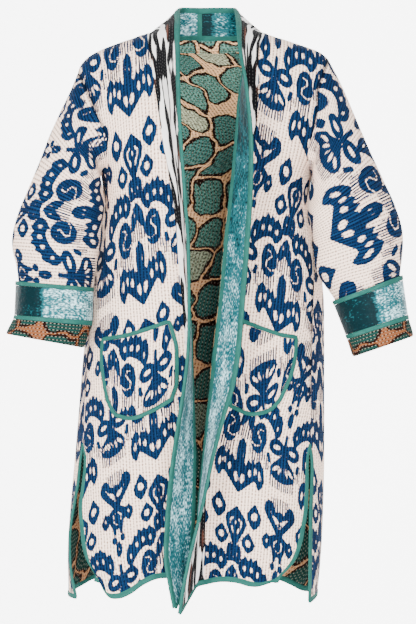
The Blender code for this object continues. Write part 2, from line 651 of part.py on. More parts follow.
class Coat:
    """The whole coat, built piece by piece from the named sizes."""

    def __init__(self):
        """Make the materials and the shared grids of the body."""
        self.materials = {
            "ikat": add_material("ikat_cotton", (0.62, 0.60, 0.60), 0.9),
            "stripe": add_material("striped_cotton", (0.30, 0.29, 0.28), 0.9),
            "velvet": add_material("crushed_velvet", (0.10, 0.36, 0.38), 0.6),
            "binding": add_material("teal_binding", (0.06, 0.26, 0.22), 0.85),
            "lining": add_material("pebble_cotton", (0.42, 0.26, 0.15), 0.9),
        }
        self.fronts = {side: self.front_grid(side) for side in (-1, 1)}
        self.back, self.back_normals = self.back_grid()
        self.sleeves = {side: self.sleeve_grid(side) for side in (-1, 1)}
        for side in (-1, 1):
            self.share_side_seams(side)
            self.share_armhole(side)

    def front_grid(self, side: int) -> tuple:
        """Points and normals of one front with its band, then of the whole band."""
        angles = front_angles(side)
        front = ring_point(side, angles[..., 0], angles[..., 1])
        band = band_grid(side, front)
        whole = np.concatenate((front[:, :-1], band[:len(front)]), axis=1)
        normals = grid_normals(whole, side)
        band_normals = grid_normals(band, side)
        band_normals[:, BAND_FACING - 1] = band_normals[:, BAND_FACING]
        band_normals[:, BAND_CLOTH_END:] = band_normals[:, BAND_EDGE][:, None]
        band_normals[-1] = unit(band_normals[-1] * np.array((0.0, 1.0, 1.0)))
        normals[:, front.shape[1] - 1:] = band_normals[:len(front)]
        return whole, normals, band, band_normals

    def back_grid(self) -> tuple:
        """Points and normals of the back, from the right side to the left one."""
        halves = []
        for side in (-1, 1):
            angles = back_angles(side)
            halves.append(ring_point(side, angles[..., 0], angles[..., 1]))
        whole = np.concatenate((halves[0], halves[1][:, -2::-1]), axis=1)
        return whole, grid_normals(whole, 1.0)

    def back_column(self, side: int) -> int:
        """Column of the back at one side seam."""
        return self.back.shape[1] - 1 if side > 0 else 0

    def share_side_seams(self, side: int) -> None:
        """Give the front and the back one normal on their seams, and part them there."""
        points, normals, _, _ = self.fronts[side]
        col = self.back_column(side)
        step = -1 if side > 0 else 1
        seam = slice(SLIT_ROW, UNDERARM_ROW + 1)
        shared = unit(normals[seam, 0] + self.back_normals[seam, col])
        normals[seam, 0] = shared
        self.back_normals[seam, col] = shared
        line = (points[seam, 0] + self.back[seam, col]) / 2.0
        points[seam, 0] = line
        self.back[seam, col] = line
        inward = unit(points[seam, 1] - points[seam, 0]) * GAP / 2.0
        points[seam, 0] += inward
        back_inward = unit(self.back[seam, col + step] - self.back[seam, col]) * GAP / 2.0
        self.back[seam, col] += back_inward
        top = slice(1, SHOULDER_COLUMNS + 1)
        cols = np.arange(1, SHOULDER_COLUMNS + 1) if side < 0 else col - np.arange(
            1, SHOULDER_COLUMNS + 1)
        shared = unit(normals[-1, top] + self.back_normals[-1, cols])
        normals[-1, top] = shared
        self.back_normals[-1, cols] = shared
        points[-1, top, 1] -= GAP / 2.0
        self.back[-1, cols, 1] += GAP / 2.0

    def armhole_loop(self, side: int) -> tuple:
        """Armhole points in order: shoulder, down the front, underarm, up the back."""
        points = self.fronts[side][0]
        col = self.back_column(side)
        front = points[UNDERARM_ROW:, 0][::-1]
        return np.concatenate((front, self.back[UNDERARM_ROW + 1:-1, col]))

    def sleeve_grid(self, side: int) -> tuple:
        """Points and normals of a sleeve, a row for each ring from the armhole down."""
        loop = self.armhole_loop(side)
        angles = np.linspace(0.0, 2.0 * math.pi, len(loop), endpoint=False)
        table = SLEEVE_LEFT if side > 0 else SLEEVE_RIGHT
        rings = [loop]
        lean = SLEEVE_LEAN * np.sin(np.linspace(0.25, math.pi, len(table)))
        for row, swing in zip(table, lean):
            ring = tube_ring(np.array(row), angles)
            ring[:, 1] -= swing * (1.0 - np.cos(angles)) / 2.0
            rings.append(ring)
        for fraction in CUFF_RINGS:
            rings.append(tube_ring(cuff_row(side, fraction), angles, CUFF_DEPTH))
        points = np.array(rings)
        return points, grid_normals(points, float(-side), closed=True)

    def share_armhole(self, side: int) -> None:
        """Mitre the armhole: one normal on the body's edge and the sleeve's first ring."""
        points, normals = self.sleeves[side]
        front_normals = self.fronts[side][1]
        col = self.back_column(side)
        count = front_normals.shape[0] - UNDERARM_ROW
        body = np.concatenate((front_normals[UNDERARM_ROW:, 0][::-1],
                               self.back_normals[UNDERARM_ROW + 1:-1, col]))
        front = self.fronts[side][0]
        step = -1 if side > 0 else 1
        into = np.concatenate((front[UNDERARM_ROW:, 1][::-1],
                               self.back[UNDERARM_ROW + 1:-1, col + step])) - points[0]
        along = unit(np.roll(points[0], -1, axis=0) - np.roll(points[0], 1, axis=0))
        lowest = front.shape[0] - 1 - UNDERARM_ROW
        into[lowest] = front[UNDERARM_ROW - 1, 0] - points[0, lowest]
        away = square_to(points[1] - points[0], along)
        into = square_to(into, along)
        turn = np.sign(np.sum(away * body, axis=1, keepdims=True))
        shared = square_to(body + normals[0] + turn * (into + away), along)
        normals[0] = shared
        front_normals[UNDERARM_ROW:, 0] = shared[:count][::-1]
        self.back_normals[UNDERARM_ROW + 1:-1, col] = shared[count:]
        self.back_normals[UNDERARM_ROW, col] = shared[count - 1]
        self.back_normals[-1, col] = shared[0]
        points[0] += unit(points[1] - points[0]) * SLEEVE_GAP

    def add_front(self, side: int) -> None:
        """Front panel, from the side to the inner edge of the facing."""
        points, normals, _, _ = self.fronts[side]
        last = SHOULDER_COLUMNS + BAND_FACING
        add_sheet(f"front_{word(side)}", points[:, :last], normals[:, :last], -CLOTH / 2.0,
                  CLOTH / 2.0, self.materials["ikat"])

    def add_band(self, side: int) -> None:
        """Striped band, velvet facing and the bindings along both edges of the facing."""
        _, _, band, normals = self.fronts[side]
        outside = slice(BAND_SEAM, BAND_CLOTH_END + 1)
        facing = slice(BAND_FACING, BAND_CLOTH_END + 1)
        inner = slice(BAND_FACING, BAND_INNER + 1)
        half = CLOTH / 2.0
        add_sheet(f"band_{word(side)}", band[:, outside], normals[:, outside], half + GAP,
                  half + GAP + TRIM, self.materials["stripe"])
        add_sheet(f"facing_{word(side)}", band[:, facing], normals[:, facing], -half, half,
                  self.materials["velvet"])
        add_sheet(f"facing_binding_{word(side)}", band[:, inner], normals[:, inner],
                  -half - GAP - TRIM, -half - GAP, self.materials["binding"])
        low = -half - BINDING_RISE
        high = half + GAP + TRIM + BINDING_RISE
        heights = ((BAND_EDGE, low), (BAND_LAST - 1, low), (BAND_LAST, low * 0.4),
                   (BAND_LAST, high * 0.55), (BAND_LAST - 1, high), (BAND_EDGE, high))
        sections = np.stack([band[:, col] + normals[:, col] * rise for col, rise in heights],
                            axis=1)
        foot = sections[:1] + (sections[0] - sections[1]).mean(axis=0) / np.linalg.norm(
            sections[0] - sections[1], axis=1).mean() * HEM_BINDING
        add_sweep(f"edge_binding_{word(side)}", np.concatenate((foot, sections)),
                  self.materials["binding"])

    def add_collar_tape(self) -> None:
        """Tape over the joint of the two facings inside the collar."""
        columns = []
        for side in (1, -1):
            _, _, band, normals = self.fronts[side]
            rows = slice(BAND_INNER, BAND_CLOTH_END + 1)
            share = TAPE_WIDTH / 2.0 / np.linalg.norm(band[-2, rows] - band[-1, rows],
                                                      axis=1, keepdims=True)
            columns.append((band[-1, rows] + (band[-2, rows] - band[-1, rows]) * share,
                            unit(normals[-1, rows] + (normals[-2, rows]
                                                      - normals[-1, rows]) * share)))
        middle = (self.fronts[1][2][-1, rows] + self.fronts[-1][2][-1, rows]) / 2.0
        columns.insert(1, (middle, self.fronts[1][3][-1, rows]))
        points = np.stack([item[0] for item in columns])
        normals = np.stack([item[1] for item in columns])
        reach = unit(points[:, 1] - points[:, 0]) * 1.5 * GAP
        points[:, 0] += reach
        points[:, -1] -= reach
        low = -CLOTH / 2.0 - 1.5 * GAP - TRIM
        add_sheet("collar_tape", points, normals, low, low + TRIM, self.materials["binding"])

    def add_back(self) -> None:
        """Back panel, from side seam to side seam and up to the collar."""
        add_sheet("back", self.back, self.back_normals, -CLOTH / 2.0, CLOTH / 2.0,
                  self.materials["ikat"])

    def hem_profiles(self, points: np.ndarray, normals: np.ndarray, outward: np.ndarray,
                     extra: np.ndarray) -> np.ndarray:
        """Sections of a hem binding: narrow at a slit's top, thicker over the bands."""
        heights = np.array([row[0] for row in SLIT_WIDTHS])[::-1]
        widths = np.array([row[1] for row in SLIT_WIDTHS])[::-1]
        width = np.interp(-points[:, 2], -heights, widths)
        ahead = unit(np.cross(np.diff(points, axis=0), normals[1:] + normals[:-1]))
        cosines = np.abs(np.stack((np.sum(ahead[np.r_[0, :len(ahead)]] * outward, axis=1),
                                   np.sum(ahead[np.r_[:len(ahead), -1]] * outward, axis=1))))
        rise = CLOTH / 2.0 + BINDING_RISE
        twist = np.linalg.norm(np.diff(normals, axis=0), axis=1)
        twist = np.maximum(twist[np.r_[0, :len(twist)]], twist[np.r_[:len(twist), -1]])
        start = (1.2 * GAP / np.clip(cosines.min(axis=0), 0.3, 1.0)
                 + 0.35 * twist * (2.0 * rise + extra))
        return np.array([bead_profile(w, -rise, rise + more, first)
                         for w, more, first in zip(width, extra, start)])

    def add_front_hem(self, side: int) -> None:
        """Binding down the front's slit edge and along its hem to the free edge."""
        points, normals, _, _ = self.fronts[side]
        last = SHOULDER_COLUMNS + BAND_CLOTH_END
        edge, edge_ups, sidestep = slit_edge(points, normals, 0, 1)
        path = np.concatenate((edge, points[0, :last + 1]))
        ups = np.concatenate((edge_ups, normals[0, :last + 1]))
        down = unit(points[0, :last + 1] - points[1, :last + 1])
        fold = slice(SHOULDER_COLUMNS, SHOULDER_COLUMNS + BAND_INNER)
        down[fold] = unit(down[fold].mean(axis=0))
        down[0] = unit(down[0] + unit(points[0, 0] - points[0, 1])) * 1.2
        extra = np.zeros(len(path))
        extra[-(BAND_CLOTH_END + 1):] = GAP + TRIM
        outward = np.concatenate((sidestep, down))
        sections = place_bead(path, ups, outward,
                              self.hem_profiles(path, ups, outward, extra))
        add_sweep(f"hem_binding_{word(side)}", sections, self.materials["binding"])

    def add_back_hem(self) -> None:
        """Binding down one slit edge of the back, along its hem and up the other."""
        points, normals = self.back, self.back_normals
        right, right_ups, right_out = slit_edge(points, normals, 0, 1)
        left, left_ups, left_out = slit_edge(points, normals, -1, -2)
        path = np.concatenate((right, points[0], left[::-1]))
        ups = np.concatenate((right_ups, normals[0], left_ups[::-1]))
        down = unit(points[0] - points[1])
        for end, near in ((0, 1), (-1, -2)):
            down[end] = unit(down[end] + unit(points[0, end] - points[0, near])) * 1.3
        outward = np.concatenate((right_out, down, left_out[::-1]))
        sections = place_bead(path, ups, outward,
                              self.hem_profiles(path, ups, outward, np.zeros(len(path))))
        add_sweep("hem_binding_back", sections, self.materials["binding"])

    def add_sleeve(self, side: int) -> None:
        """Sleeve, from the armhole to just inside the cuff's turned end."""
        points, normals = self.sleeves[side]
        piece = Piece(f"sleeve_{word(side)}", self.materials["ikat"])
        half = CLOTH / 2.0
        under = piece.add_points(points - normals * half)
        over = piece.add_points(points + normals * half)
        under = np.concatenate((under, under[:, :1]), axis=1)
        over = np.concatenate((over, over[:, :1]), axis=1)
        piece.add_strip(over, False)
        piece.add_strip(under, True)
        piece.add_strip(np.stack((under[0], over[0])), False)
        piece.add_strip(np.stack((under[-1], over[-1])), True)
        piece.build()

    def cuff_section(self, side: int, fraction: float, height: float) -> np.ndarray:
        """Ring of points on the cuff, raised by a height from its outer side."""
        angles = np.linspace(0.0, 2.0 * math.pi, CUFF_SIDES, endpoint=False)
        return tube_ring(cuff_row(side, fraction), angles, -height)

    def add_cuff(self, side: int) -> None:
        """Turned-back cuff: its lining band with the turned end, velvet and bindings."""
        turn = ((0.288, -2.6), (0.288, 0.0), (0.05, 0.3), (0.012, -0.8), (-0.006, -3.6),
                (-0.006, -7.4), (0.016, -7.5), (0.016, -4.8), (0.04, -2.6))
        sections = np.stack([self.cuff_section(side, *corner) for corner in turn], axis=1)
        add_sweep(f"cuff_lining_{word(side)}", sections, self.materials["lining"], ring=True)
        for name, start, end, under, over, material in CUFF_PARTS:
            middle = (start + end) / 2.0
            corners = [(start, under), (start, over), (end, over), (end, under)]
            if end - start > 0.3:
                corners = [(start, under), (start, over), (middle, over), (end, over),
                           (end, under), (middle, under)]
            sections = np.stack([self.cuff_section(side, *item) for item in corners], axis=1)
            add_sweep(f"{name}_{word(side)}", sections, self.materials[material], ring=True)

    def add_pocket(self, side: int) -> None:
        """Patch pocket that lies on the front, and the binding round it."""
        table = POCKET_LEFT if side > 0 else POCKET_RIGHT
        outer, inner, bottom, top = (short_curve(table[key], POCKET_STEPS)
                                     for key in ("outer", "inner", "bottom", "top"))
        flat = coons(outer, inner, bottom, top)
        centre = flat.mean(axis=(0, 1))
        size = np.ptp(flat, axis=(0, 1))
        flat = centre + (flat - centre) * (1.0 - 2.0 * POCKET_INSET / size)
        angles = ring_angle(side, flat[..., 0], flat[..., 1])
        points = ring_point(side, angles, flat[..., 1])
        normals = grid_normals(points, float(side))
        add_sheet(f"pocket_{word(side)}", points, normals, *POCKET_WALL,
                  self.materials["ikat"])
        loop = np.concatenate((points[0, :-1], points[:-1, -1], points[-1, :0:-1],
                               points[:0:-1, 0]))
        ups = np.concatenate((normals[0, :-1], normals[:-1, -1], normals[-1, :0:-1],
                              normals[:0:-1, 0]))
        outward = mitred_outward(loop, ups) * float(-side)
        profile = np.array(((2.0 * GAP, POCKET_BEAD[0]), (POCKET_BINDING, POCKET_BEAD[0]),
                            (POCKET_BINDING - 0.8, POCKET_BEAD[1]), (2.0 * GAP, POCKET_BEAD[1])))
        profiles = np.repeat(profile[None], len(loop), axis=0)
        add_sweep(f"pocket_binding_{word(side)}", place_bead(loop, ups, outward, profiles),
                  self.materials["binding"], ring=True)


def word(side: int) -> str:
    """Name of the wearer's side."""
    return "left" if side > 0 else "right"


def main() -> None:
    """Clear the file and build every piece."""
    for item in list(bpy.data.objects):
        bpy.data.objects.remove(item)
    coat = Coat()
    for side in (-1, 1):
        coat.add_front(side)
        coat.add_band(side)
        coat.add_front_hem(side)
        coat.add_sleeve(side)
        coat.add_cuff(side)
        coat.add_pocket(side)
    coat.add_collar_tape()
    coat.add_back()
    coat.add_back_hem()


main()
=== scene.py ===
"""Worn look of an open, quilted robe: printed and dyed cottons, velvet facings and bindings.

Every piece is a grid worked out with numpy from a few named tables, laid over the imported
frame. Lengths in the tables are millimetres; meshes are in metres. +X is the wearer's left,
-Y is in front of the chest and +Z is up.
"""

import logging
import math
from dataclasses import dataclass
from enum import Enum

import bpy
import numpy as np
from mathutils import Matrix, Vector

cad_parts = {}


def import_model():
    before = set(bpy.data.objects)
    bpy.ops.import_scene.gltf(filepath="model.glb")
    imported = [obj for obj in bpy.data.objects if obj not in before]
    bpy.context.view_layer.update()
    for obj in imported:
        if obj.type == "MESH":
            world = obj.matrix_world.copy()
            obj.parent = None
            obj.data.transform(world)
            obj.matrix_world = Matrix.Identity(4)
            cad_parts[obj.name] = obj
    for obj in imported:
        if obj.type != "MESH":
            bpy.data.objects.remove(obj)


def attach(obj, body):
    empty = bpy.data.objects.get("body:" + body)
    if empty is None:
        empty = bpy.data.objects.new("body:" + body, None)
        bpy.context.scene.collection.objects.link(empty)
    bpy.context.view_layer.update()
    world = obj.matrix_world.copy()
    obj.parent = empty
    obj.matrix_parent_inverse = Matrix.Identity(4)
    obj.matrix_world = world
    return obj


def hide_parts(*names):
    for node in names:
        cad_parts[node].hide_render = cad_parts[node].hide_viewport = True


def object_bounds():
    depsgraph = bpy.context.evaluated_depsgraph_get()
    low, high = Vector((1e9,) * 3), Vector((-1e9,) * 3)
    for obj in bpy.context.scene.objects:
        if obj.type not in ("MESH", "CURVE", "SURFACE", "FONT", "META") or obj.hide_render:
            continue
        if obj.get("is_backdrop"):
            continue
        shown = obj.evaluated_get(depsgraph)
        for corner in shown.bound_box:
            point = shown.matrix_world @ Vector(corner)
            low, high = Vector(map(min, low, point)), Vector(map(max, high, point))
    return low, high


LOG = logging.getLogger("robe")
MM = 0.001
Array = np.ndarray

CLOTH = 2.6             # quilted cotton wall
TRIM = 1.3              # laid-on band
GAP = 0.3               # between neighbouring walls
OUTER = (-0.6, CLOTH / 2.0)     # heights of a wall's dyed side
INNER = (-CLOTH / 2.0, -0.65)   # heights of its lining
EDGE_BINDING = 11.0
INNER_BINDING = 9.0
HEM_BINDING = 8.0
BINDING_RISE = 0.9
RING_POWER = 2.3
FOLD_RADIUS = 7.0
JOINT_TURN = 6.0        # degrees from the centre back to the joint of the two collars
BACK_CENTRE = -90.0     # ring angle of the centre back
COLLAR_JOINT_X = -13.5
SHOULDER_TOP = 20.0
FINE = 3.0              # grid spacing of the pieces that carry the dyed pattern
COARSE = 6.0            # grid spacing of the linings


class Side(Enum):
    """Wearer's side of a paired piece; the value is the sign of its x."""

    RIGHT = -1
    LEFT = 1

    @property
    def word(self) -> str:
        """Name used in node and piece names."""
        return "left" if self is Side.LEFT else "right"


class Cloth(Enum):
    """Which of the robe's cloths a piece is made of; the value is its material slot."""

    IKAT = "ikat_cotton"
    STRIPE = "striped_cotton"
    VELVET = "crushed_velvet"
    BINDING = "teal_binding"
    LINING = "pebble_cotton"


@dataclass(frozen=True)
class Table:
    """Rows of sizes, read through a smooth curve.

    Attributes:
        names: names of the columns, with spaces between them.
        rows: the rows.
    """

    names: str
    rows: tuple[tuple[float, ...], ...]

    def column(self, name: str) -> Array:
        """One column as an array."""
        place = self.names.split().index(name)
        return np.array([row[place] for row in self.rows], dtype=float)

    def read(self, key: str, name: str, value: Array) -> Array:
        """Read one column at any value of the key column.

        Args:
            key: name of the column that is looked up.
            name: name of the column that is read.
            value: where to read it.

        Returns:
            The column's values there.
        """
        keys = self.column(key)
        order = np.argsort(keys)
        return smooth_curve(keys[order], self.column(name)[order], np.asarray(value, float))


def sided(names: str, right: tuple, left: tuple) -> dict[Side, Table]:
    """Tables with the same columns for the two sides."""
    return {Side.RIGHT: Table(names, right), Side.LEFT: Table(names, left)}


def smooth_curve(keys: Array, values: Array, at: Array) -> Array:
    """Monotone cubic through the rows, so it never overshoots them.

    The slope at a row is the harmonic mean of its two neighbours' slopes, or nought at a
    turning point, and each stretch is the cubic with those slopes at its ends.

    Args:
        keys: rising key of each row.
        values: value of each row.
        at: keys to read.

    Returns:
        Values at those keys.
    """
    step = np.diff(keys)
    rise = np.diff(values) / step
    slope = np.zeros(len(keys))
    slope[0], slope[-1] = rise[0], rise[-1]
    same = rise[:-1] * rise[1:] > 0.0
    safe = np.where(same, rise[:-1] + rise[1:], 1.0)
    slope[1:-1] = np.where(same, 2.0 * rise[:-1] * rise[1:] / safe, 0.0)
    at = np.clip(at, keys[0], keys[-1])
    index = np.clip(np.searchsorted(keys, at) - 1, 0, len(step) - 1)
    width = step[index]
    u = (at - keys[index]) / width
    start = (1.0 + 2.0 * u) * (1.0 - u) ** 2 * values[index]
    end = u * u * (3.0 - 2.0 * u) * values[index + 1]
    bend = u * (1.0 - u) * ((1.0 - u) * slope[index] - u * slope[index + 1]) * width
    return start + end + bend


def unit(vectors: Array) -> Array:
    """Vectors scaled to length one."""
    return vectors / np.maximum(np.linalg.norm(vectors, axis=-1, keepdims=True), 1e-9)


def through(controls: Array, at: Array) -> Array:
    """Smooth curve through control rows that may be unevenly spaced.

    Each interval's length is the mean distance between its rows. The slope at a row is the
    mean of its two neighbours' slopes, each weighted by the other's interval, and each
    stretch is the cubic with those slopes at its ends.

    Args:
        controls: (n, ..., 3) control rows.
        at: positions from 0 to n - 1.

    Returns:
        One row for each position.
    """
    last = len(controls) - 1
    steps = np.diff(controls, axis=0)
    sizes = np.linalg.norm(steps, axis=-1).reshape(last, -1).mean(axis=1) + 1e-6
    shape = (-1,) + (1,) * (controls.ndim - 1)
    rate = steps / sizes.reshape(shape)
    before, after = sizes[:-1].reshape(shape), sizes[1:].reshape(shape)
    slope = np.concatenate((rate[:1], (before * rate[1:] + after * rate[:-1])
                            / (before + after), rate[-1:]))
    index = np.clip(np.floor(at).astype(int), 0, last - 1)
    u = (at - index).reshape(shape)
    size = sizes[index].reshape(shape)
    return ((1.0 + 2.0 * u) * (1.0 - u) ** 2 * controls[index]
            + u * u * (3.0 - 2.0 * u) * controls[index + 1]
            + u * (1.0 - u) * size * ((1.0 - u) * slope[index] - u * slope[index + 1]))


def grid_normals(points: Array, side: float, closed: bool = False) -> Array:
    """Unit normals of a grid: the cross product of its row and column steps.

    Args:
        points: (rows, columns, 3) grid.
        side: +1 or -1, which side is outside.
        closed: whether the columns go all the way round.

    Returns:
        A normal for each point.
    """
    along = np.gradient(points, axis=0)
    if closed:
        around = np.roll(points, -1, axis=1) - np.roll(points, 1, axis=1)
    else:
        around = np.gradient(points, axis=1)
    return side * unit(np.cross(along, around))


def run_length(points: Array, axis: int) -> Array:
    """Distance along a grid's rows or columns, from its first line.

    Args:
        points: (rows, columns, ...) grid.
        axis: 0 to run down the rows, 1 to run along them.

    Returns:
        Length from the first row or column to each point.
    """
    steps = np.linalg.norm(np.diff(points, axis=axis), axis=-1)
    start = np.zeros_like(np.take(steps, [0], axis=axis))
    return np.concatenate((start, np.cumsum(steps, axis=axis)), axis=axis)


# Body rings: half widths to the wearer's right and left, depths to the front and back.
RINGS = Table("z right left front back", (
    (-1010, 249, 196, 142, 140), (-909, 250, 205, 140, 136), (-819, 244, 209, 137, 132),
    (-729, 236, 210.5, 134, 128), (-549, 221, 210.5, 128, 118), (-459, 211, 209.5, 126, 115),
    (-369, 198, 199, 124, 114), (-300, 186, 184, 123, 118), (-256, 184, 182, 122.5, 120),
    (-228, 190, 188, 122, 122), (-200, 200, 197, 120, 122), (-166, 212, 211, 116, 121),
    (-129, 223, 222, 108, 117), (-85, 233, 232, 92, 108), (-50, 232, 231, 76, 97),
    (-27, 220, 219, 64, 86), (-13, 200, 203, 56, 76), (2, 164, 162, 48, 62),
    (12, 133, 131, 42, 50), (20, 108, 106, 36, 40),
))
# Side seams and slits: x where the front and the back end.
SEAMS = sided("z front back", (
    (-228, 190, 190), (-256, 183.8, 183.8), (-300, 185.6, 185.6), (-369, 196, 196),
    (-549, 214, 214), (-718, 223, 223), (-742, 218.5, 228), (-790, 221, 233.5),
    (-830, 225.5, 240.5), (-866, 223, 246), (-902, 218.5, 248), (-930, 212, 247.5),
    (-961, 197, 244), (-991, 180, 238),
), (
    (-228, 188, 188), (-256, 181.8, 181.8), (-300, 183.2, 183.2), (-369, 193, 193),
    (-549, 188, 188), (-718, 184.5, 184.5), (-742, 180, 189), (-790, 178, 189.5),
    (-830, 175.5, 188.5), (-866, 170.5, 188), (-902, 163, 187.5), (-938, 146.5, 187),
    (-961, 124, 186.5), (-997, 110, 186),
))
# Armholes from the underarm to the shoulder point: ring angles on the front and back.
ARMHOLES = sided("z front back", (
    (-228, 0, 0), (-218, 14, -13), (-198, 26, -24), (-166, 33, -30), (-129, 30, -28),
    (-92, 26, -24), (-68, 18, -17), (-54, 8, -8), (-50, 0, 0),
), (
    (-228, 0, 0), (-217, 13, -13), (-194, 24, -23), (-155, 28, -29), (-115, 30, -30),
    (-78, 32, -30), (-47, 26, -22), (-30, 12, -11), (-25, 0, 0),
))
# Front bands: seam x, flat cloth before the roll, and the free edge from that seam.
BANDS = sided("z seam_x flat edge_x reach drop", (
    (-1000, -36, 2, -57, 66, 66), (-948, -37, 2, -60, 68, 62), (-902, -34, 2, -76, 72, 22),
    (-837, -30, 2, -72.5, 72, 2), (-749, -29, 2, -63, 78, 0), (-686, -31, 2, -53, 82, 0),
    (-625, -34, 2, -43, 86, 0), (-576, -37, 2, -36, 88, 0), (-513, -40, 2, -32, 87, 0),
    (-459, -45, 2, -31.5, 87, 0), (-369, -52, 2, -32, 86, 0), (-279, -61, 2, -38, 85, 0),
    (-189, -76, 3, -44, 80, 0), (-135, -85, 3, -47, 76, 0), (-63, -96, 3, -49, 66, -4),
    (-9, -104, 3, -49, 40, -8), (12, -107, 3, -48.5, 22, -22), (20, -107.7, 3, -48, 8, -34),
), (
    (-1000, -7, 3, -54, 82, 60), (-954, -6, 3, -50, 84, 56), (-902, -3.6, 3, -32, 82, 16),
    (-830, -2, 4, -9, 80, 0), (-749, 4, 4, 9, 78, 0), (-666, 12, 5, 32, 71, 0),
    (-614, 18, 6, 48, 64, 0), (-562, 24, 8, 58, 60, 0), (-459, 38, 10, 67, 62, 0),
    (-342, 51, 13, 76, 63, 0), (-279, 60, 15, 80, 66, 0), (-189, 76, 22, 81.5, 71, 0),
    (-135, 90, 30, 78, 75, 0), (-63, 92, 20, 68, 74, -4), (-9, 93.6, 6, 56, 50, -8),
    (12, 101, 4, 53, 26, -22), (20, 105.7, 3, 51, 8, -34),
))
# Collar round the neck: seam height and free edge, by ring angle.
NECK = Table("angle seam_z edge_x edge_y edge_z", (
    (0, 20, 49, -8, 54), (-20, 16, 49.5, 18, 62), (-45, 7, 48, 42, 68), (-67, -6, 36, 58, 70),
    (-90, -14, 0, 66, 70),
))
# Hems, by fraction from the side to the front band or to the centre back.
FRONT_HEMS = sided("fraction z", (
    (0, -961), (0.11, -984), (0.25, -989.5), (0.39, -984), (0.58, -964), (0.7, -954), (0.8, -952),
    (1, -950),
), (
    (0, -961), (0.32, -969), (0.71, -959), (0.89, -959), (1, -964),
))
BACK_HEMS = sided("fraction z", (
    (0, -991), (0.18, -985), (0.44, -969), (0.52, -959), (0.7, -951), (1, -952),
), (
    (0, -997), (0.19, -983), (0.5, -975), (0.58, -961), (0.64, -957), (0.8, -951), (1, -952),
))
# Sleeves and turned-back cuffs: outline in the front view, middle depth and half depth.
SLEEVES = sided("outer_x outer_z inner_x inner_z middle_y half_depth", (
    (-246.6, -84.6, -202, -236, -4, 75), (-264.6, -122, -193, -255, -10, 69),
    (-282.6, -162, -187.5, -273, -17, 65), (-300.6, -209, -186, -290, -26, 62),
    (-320.4, -257, -189.9, -310, -35, 61), (-338.4, -300.6, -196.2, -333, -44, 60),
    (-349.2, -340.2, -200.2, -354.6, -52, 59), (-349.2, -369, -204.3, -379.8, -58, 58),
    (-342.9, -394.2, -206.3, -405, -62, 56),
), (
    (236, -60, 198, -238, -6, 72), (250, -90, 191, -254, -14, 70),
    (262, -119, 185.5, -271, -24, 66), (277.2, -154.8, 183.5, -288, -34, 64),
    (295.2, -196.2, 184.5, -304.2, -46, 63), (315, -239.4, 189, -325.8, -50, 62),
    (336.6, -286.2, 195.3, -352.8, -54, 61), (350.1, -329.4, 202.5, -383.4, -58, 60),
    (351.9, -361.8, 212.4, -415.8, -62, 58), (349.2, -390.6, 219.6, -437.4, -66, 56),
))
CUFFS = sided("outer_x outer_z inner_x inner_z middle_y half_depth", (
    (-362.7, -520, -221.4, -545.4, -76, 60), (-347.4, -489.6, -206.5, -500, -74, 60.5),
    (-344.7, -424.8, -204.3, -436.5, -67, 61.5),
), (
    (372.6, -523.8, 262.8, -561.6, -77, 59), (362.7, -489.6, 251, -525.6, -75, 60),
    (351.9, -414, 226, -460.8, -70, 62),
))
# Pockets: the four edges of each in the front view.
POCKETS = {
    Side.RIGHT: {
        "top": ((-187, -531), (-150, -525), (-105, -512), (-66.6, -498.6)),
        "bottom": ((-178, -640), (-162, -666), (-138, -671.5), (-99, -658), (-63, -637)),
        "outer": ((-178, -640), (-186, -594), (-189, -561), (-187, -531)),
        "inner": ((-63, -637), (-54, -603), (-54, -552.6), (-66.6, -498.6)),
    },
    Side.LEFT: {
        "top": ((160, -527), (138, -524), (103, -513), (50, -493)),
        "bottom": ((139, -618), (127, -641), (106, -659), (80, -664), (42, -650)),
        "outer": ((139, -618), (152, -585), (157, -560), (160, -527)),
        "inner": ((42, -650), (38, -600), (40, -550), (50, -493)),
    },
}
FRONT_UPPER_ROWS = (-189, -150, -107, -63, -25, -2, 12, 20)
BACK_UPPER_ROWS = (-205, -180, -150, -118, -85, -55, -32, -14)


SHOULDER_COLUMNS = 7    # control columns along each shoulder seam
NECK_STEPS = 4          # control columns from the neck point to the centre back
SLIT_ROW = 7            # control row at the top of the slits
UNDERARM_ROW = 16       # control row at the underarm
LOWER_ROWS = (-902, -866, -830, -790, -742, -718, -666, -614, -562, -513, -459, -400, -342,
              -285, -228)
SLEEVE_LEAN = 26.0      # how far the inner side of the upper sleeve swings forward
CUFF_JOINT = 0.33       # where the cuff's second outline lies, from the turned end
CUFF_DEPTH = 6.2        # from the cuff's outer side in to the middle of the sleeve
SLEEVE_ENDS = (0.985, 0.6, 0.3, 0.026)
NECK_CLEARANCE = 0.9
EASY_BEND = 110.0       # degrees of roll below which the fold grows rounder
FOLD_GROWTH = 60.0
FACING_COLUMN = 5       # control column of a band where its facing begins


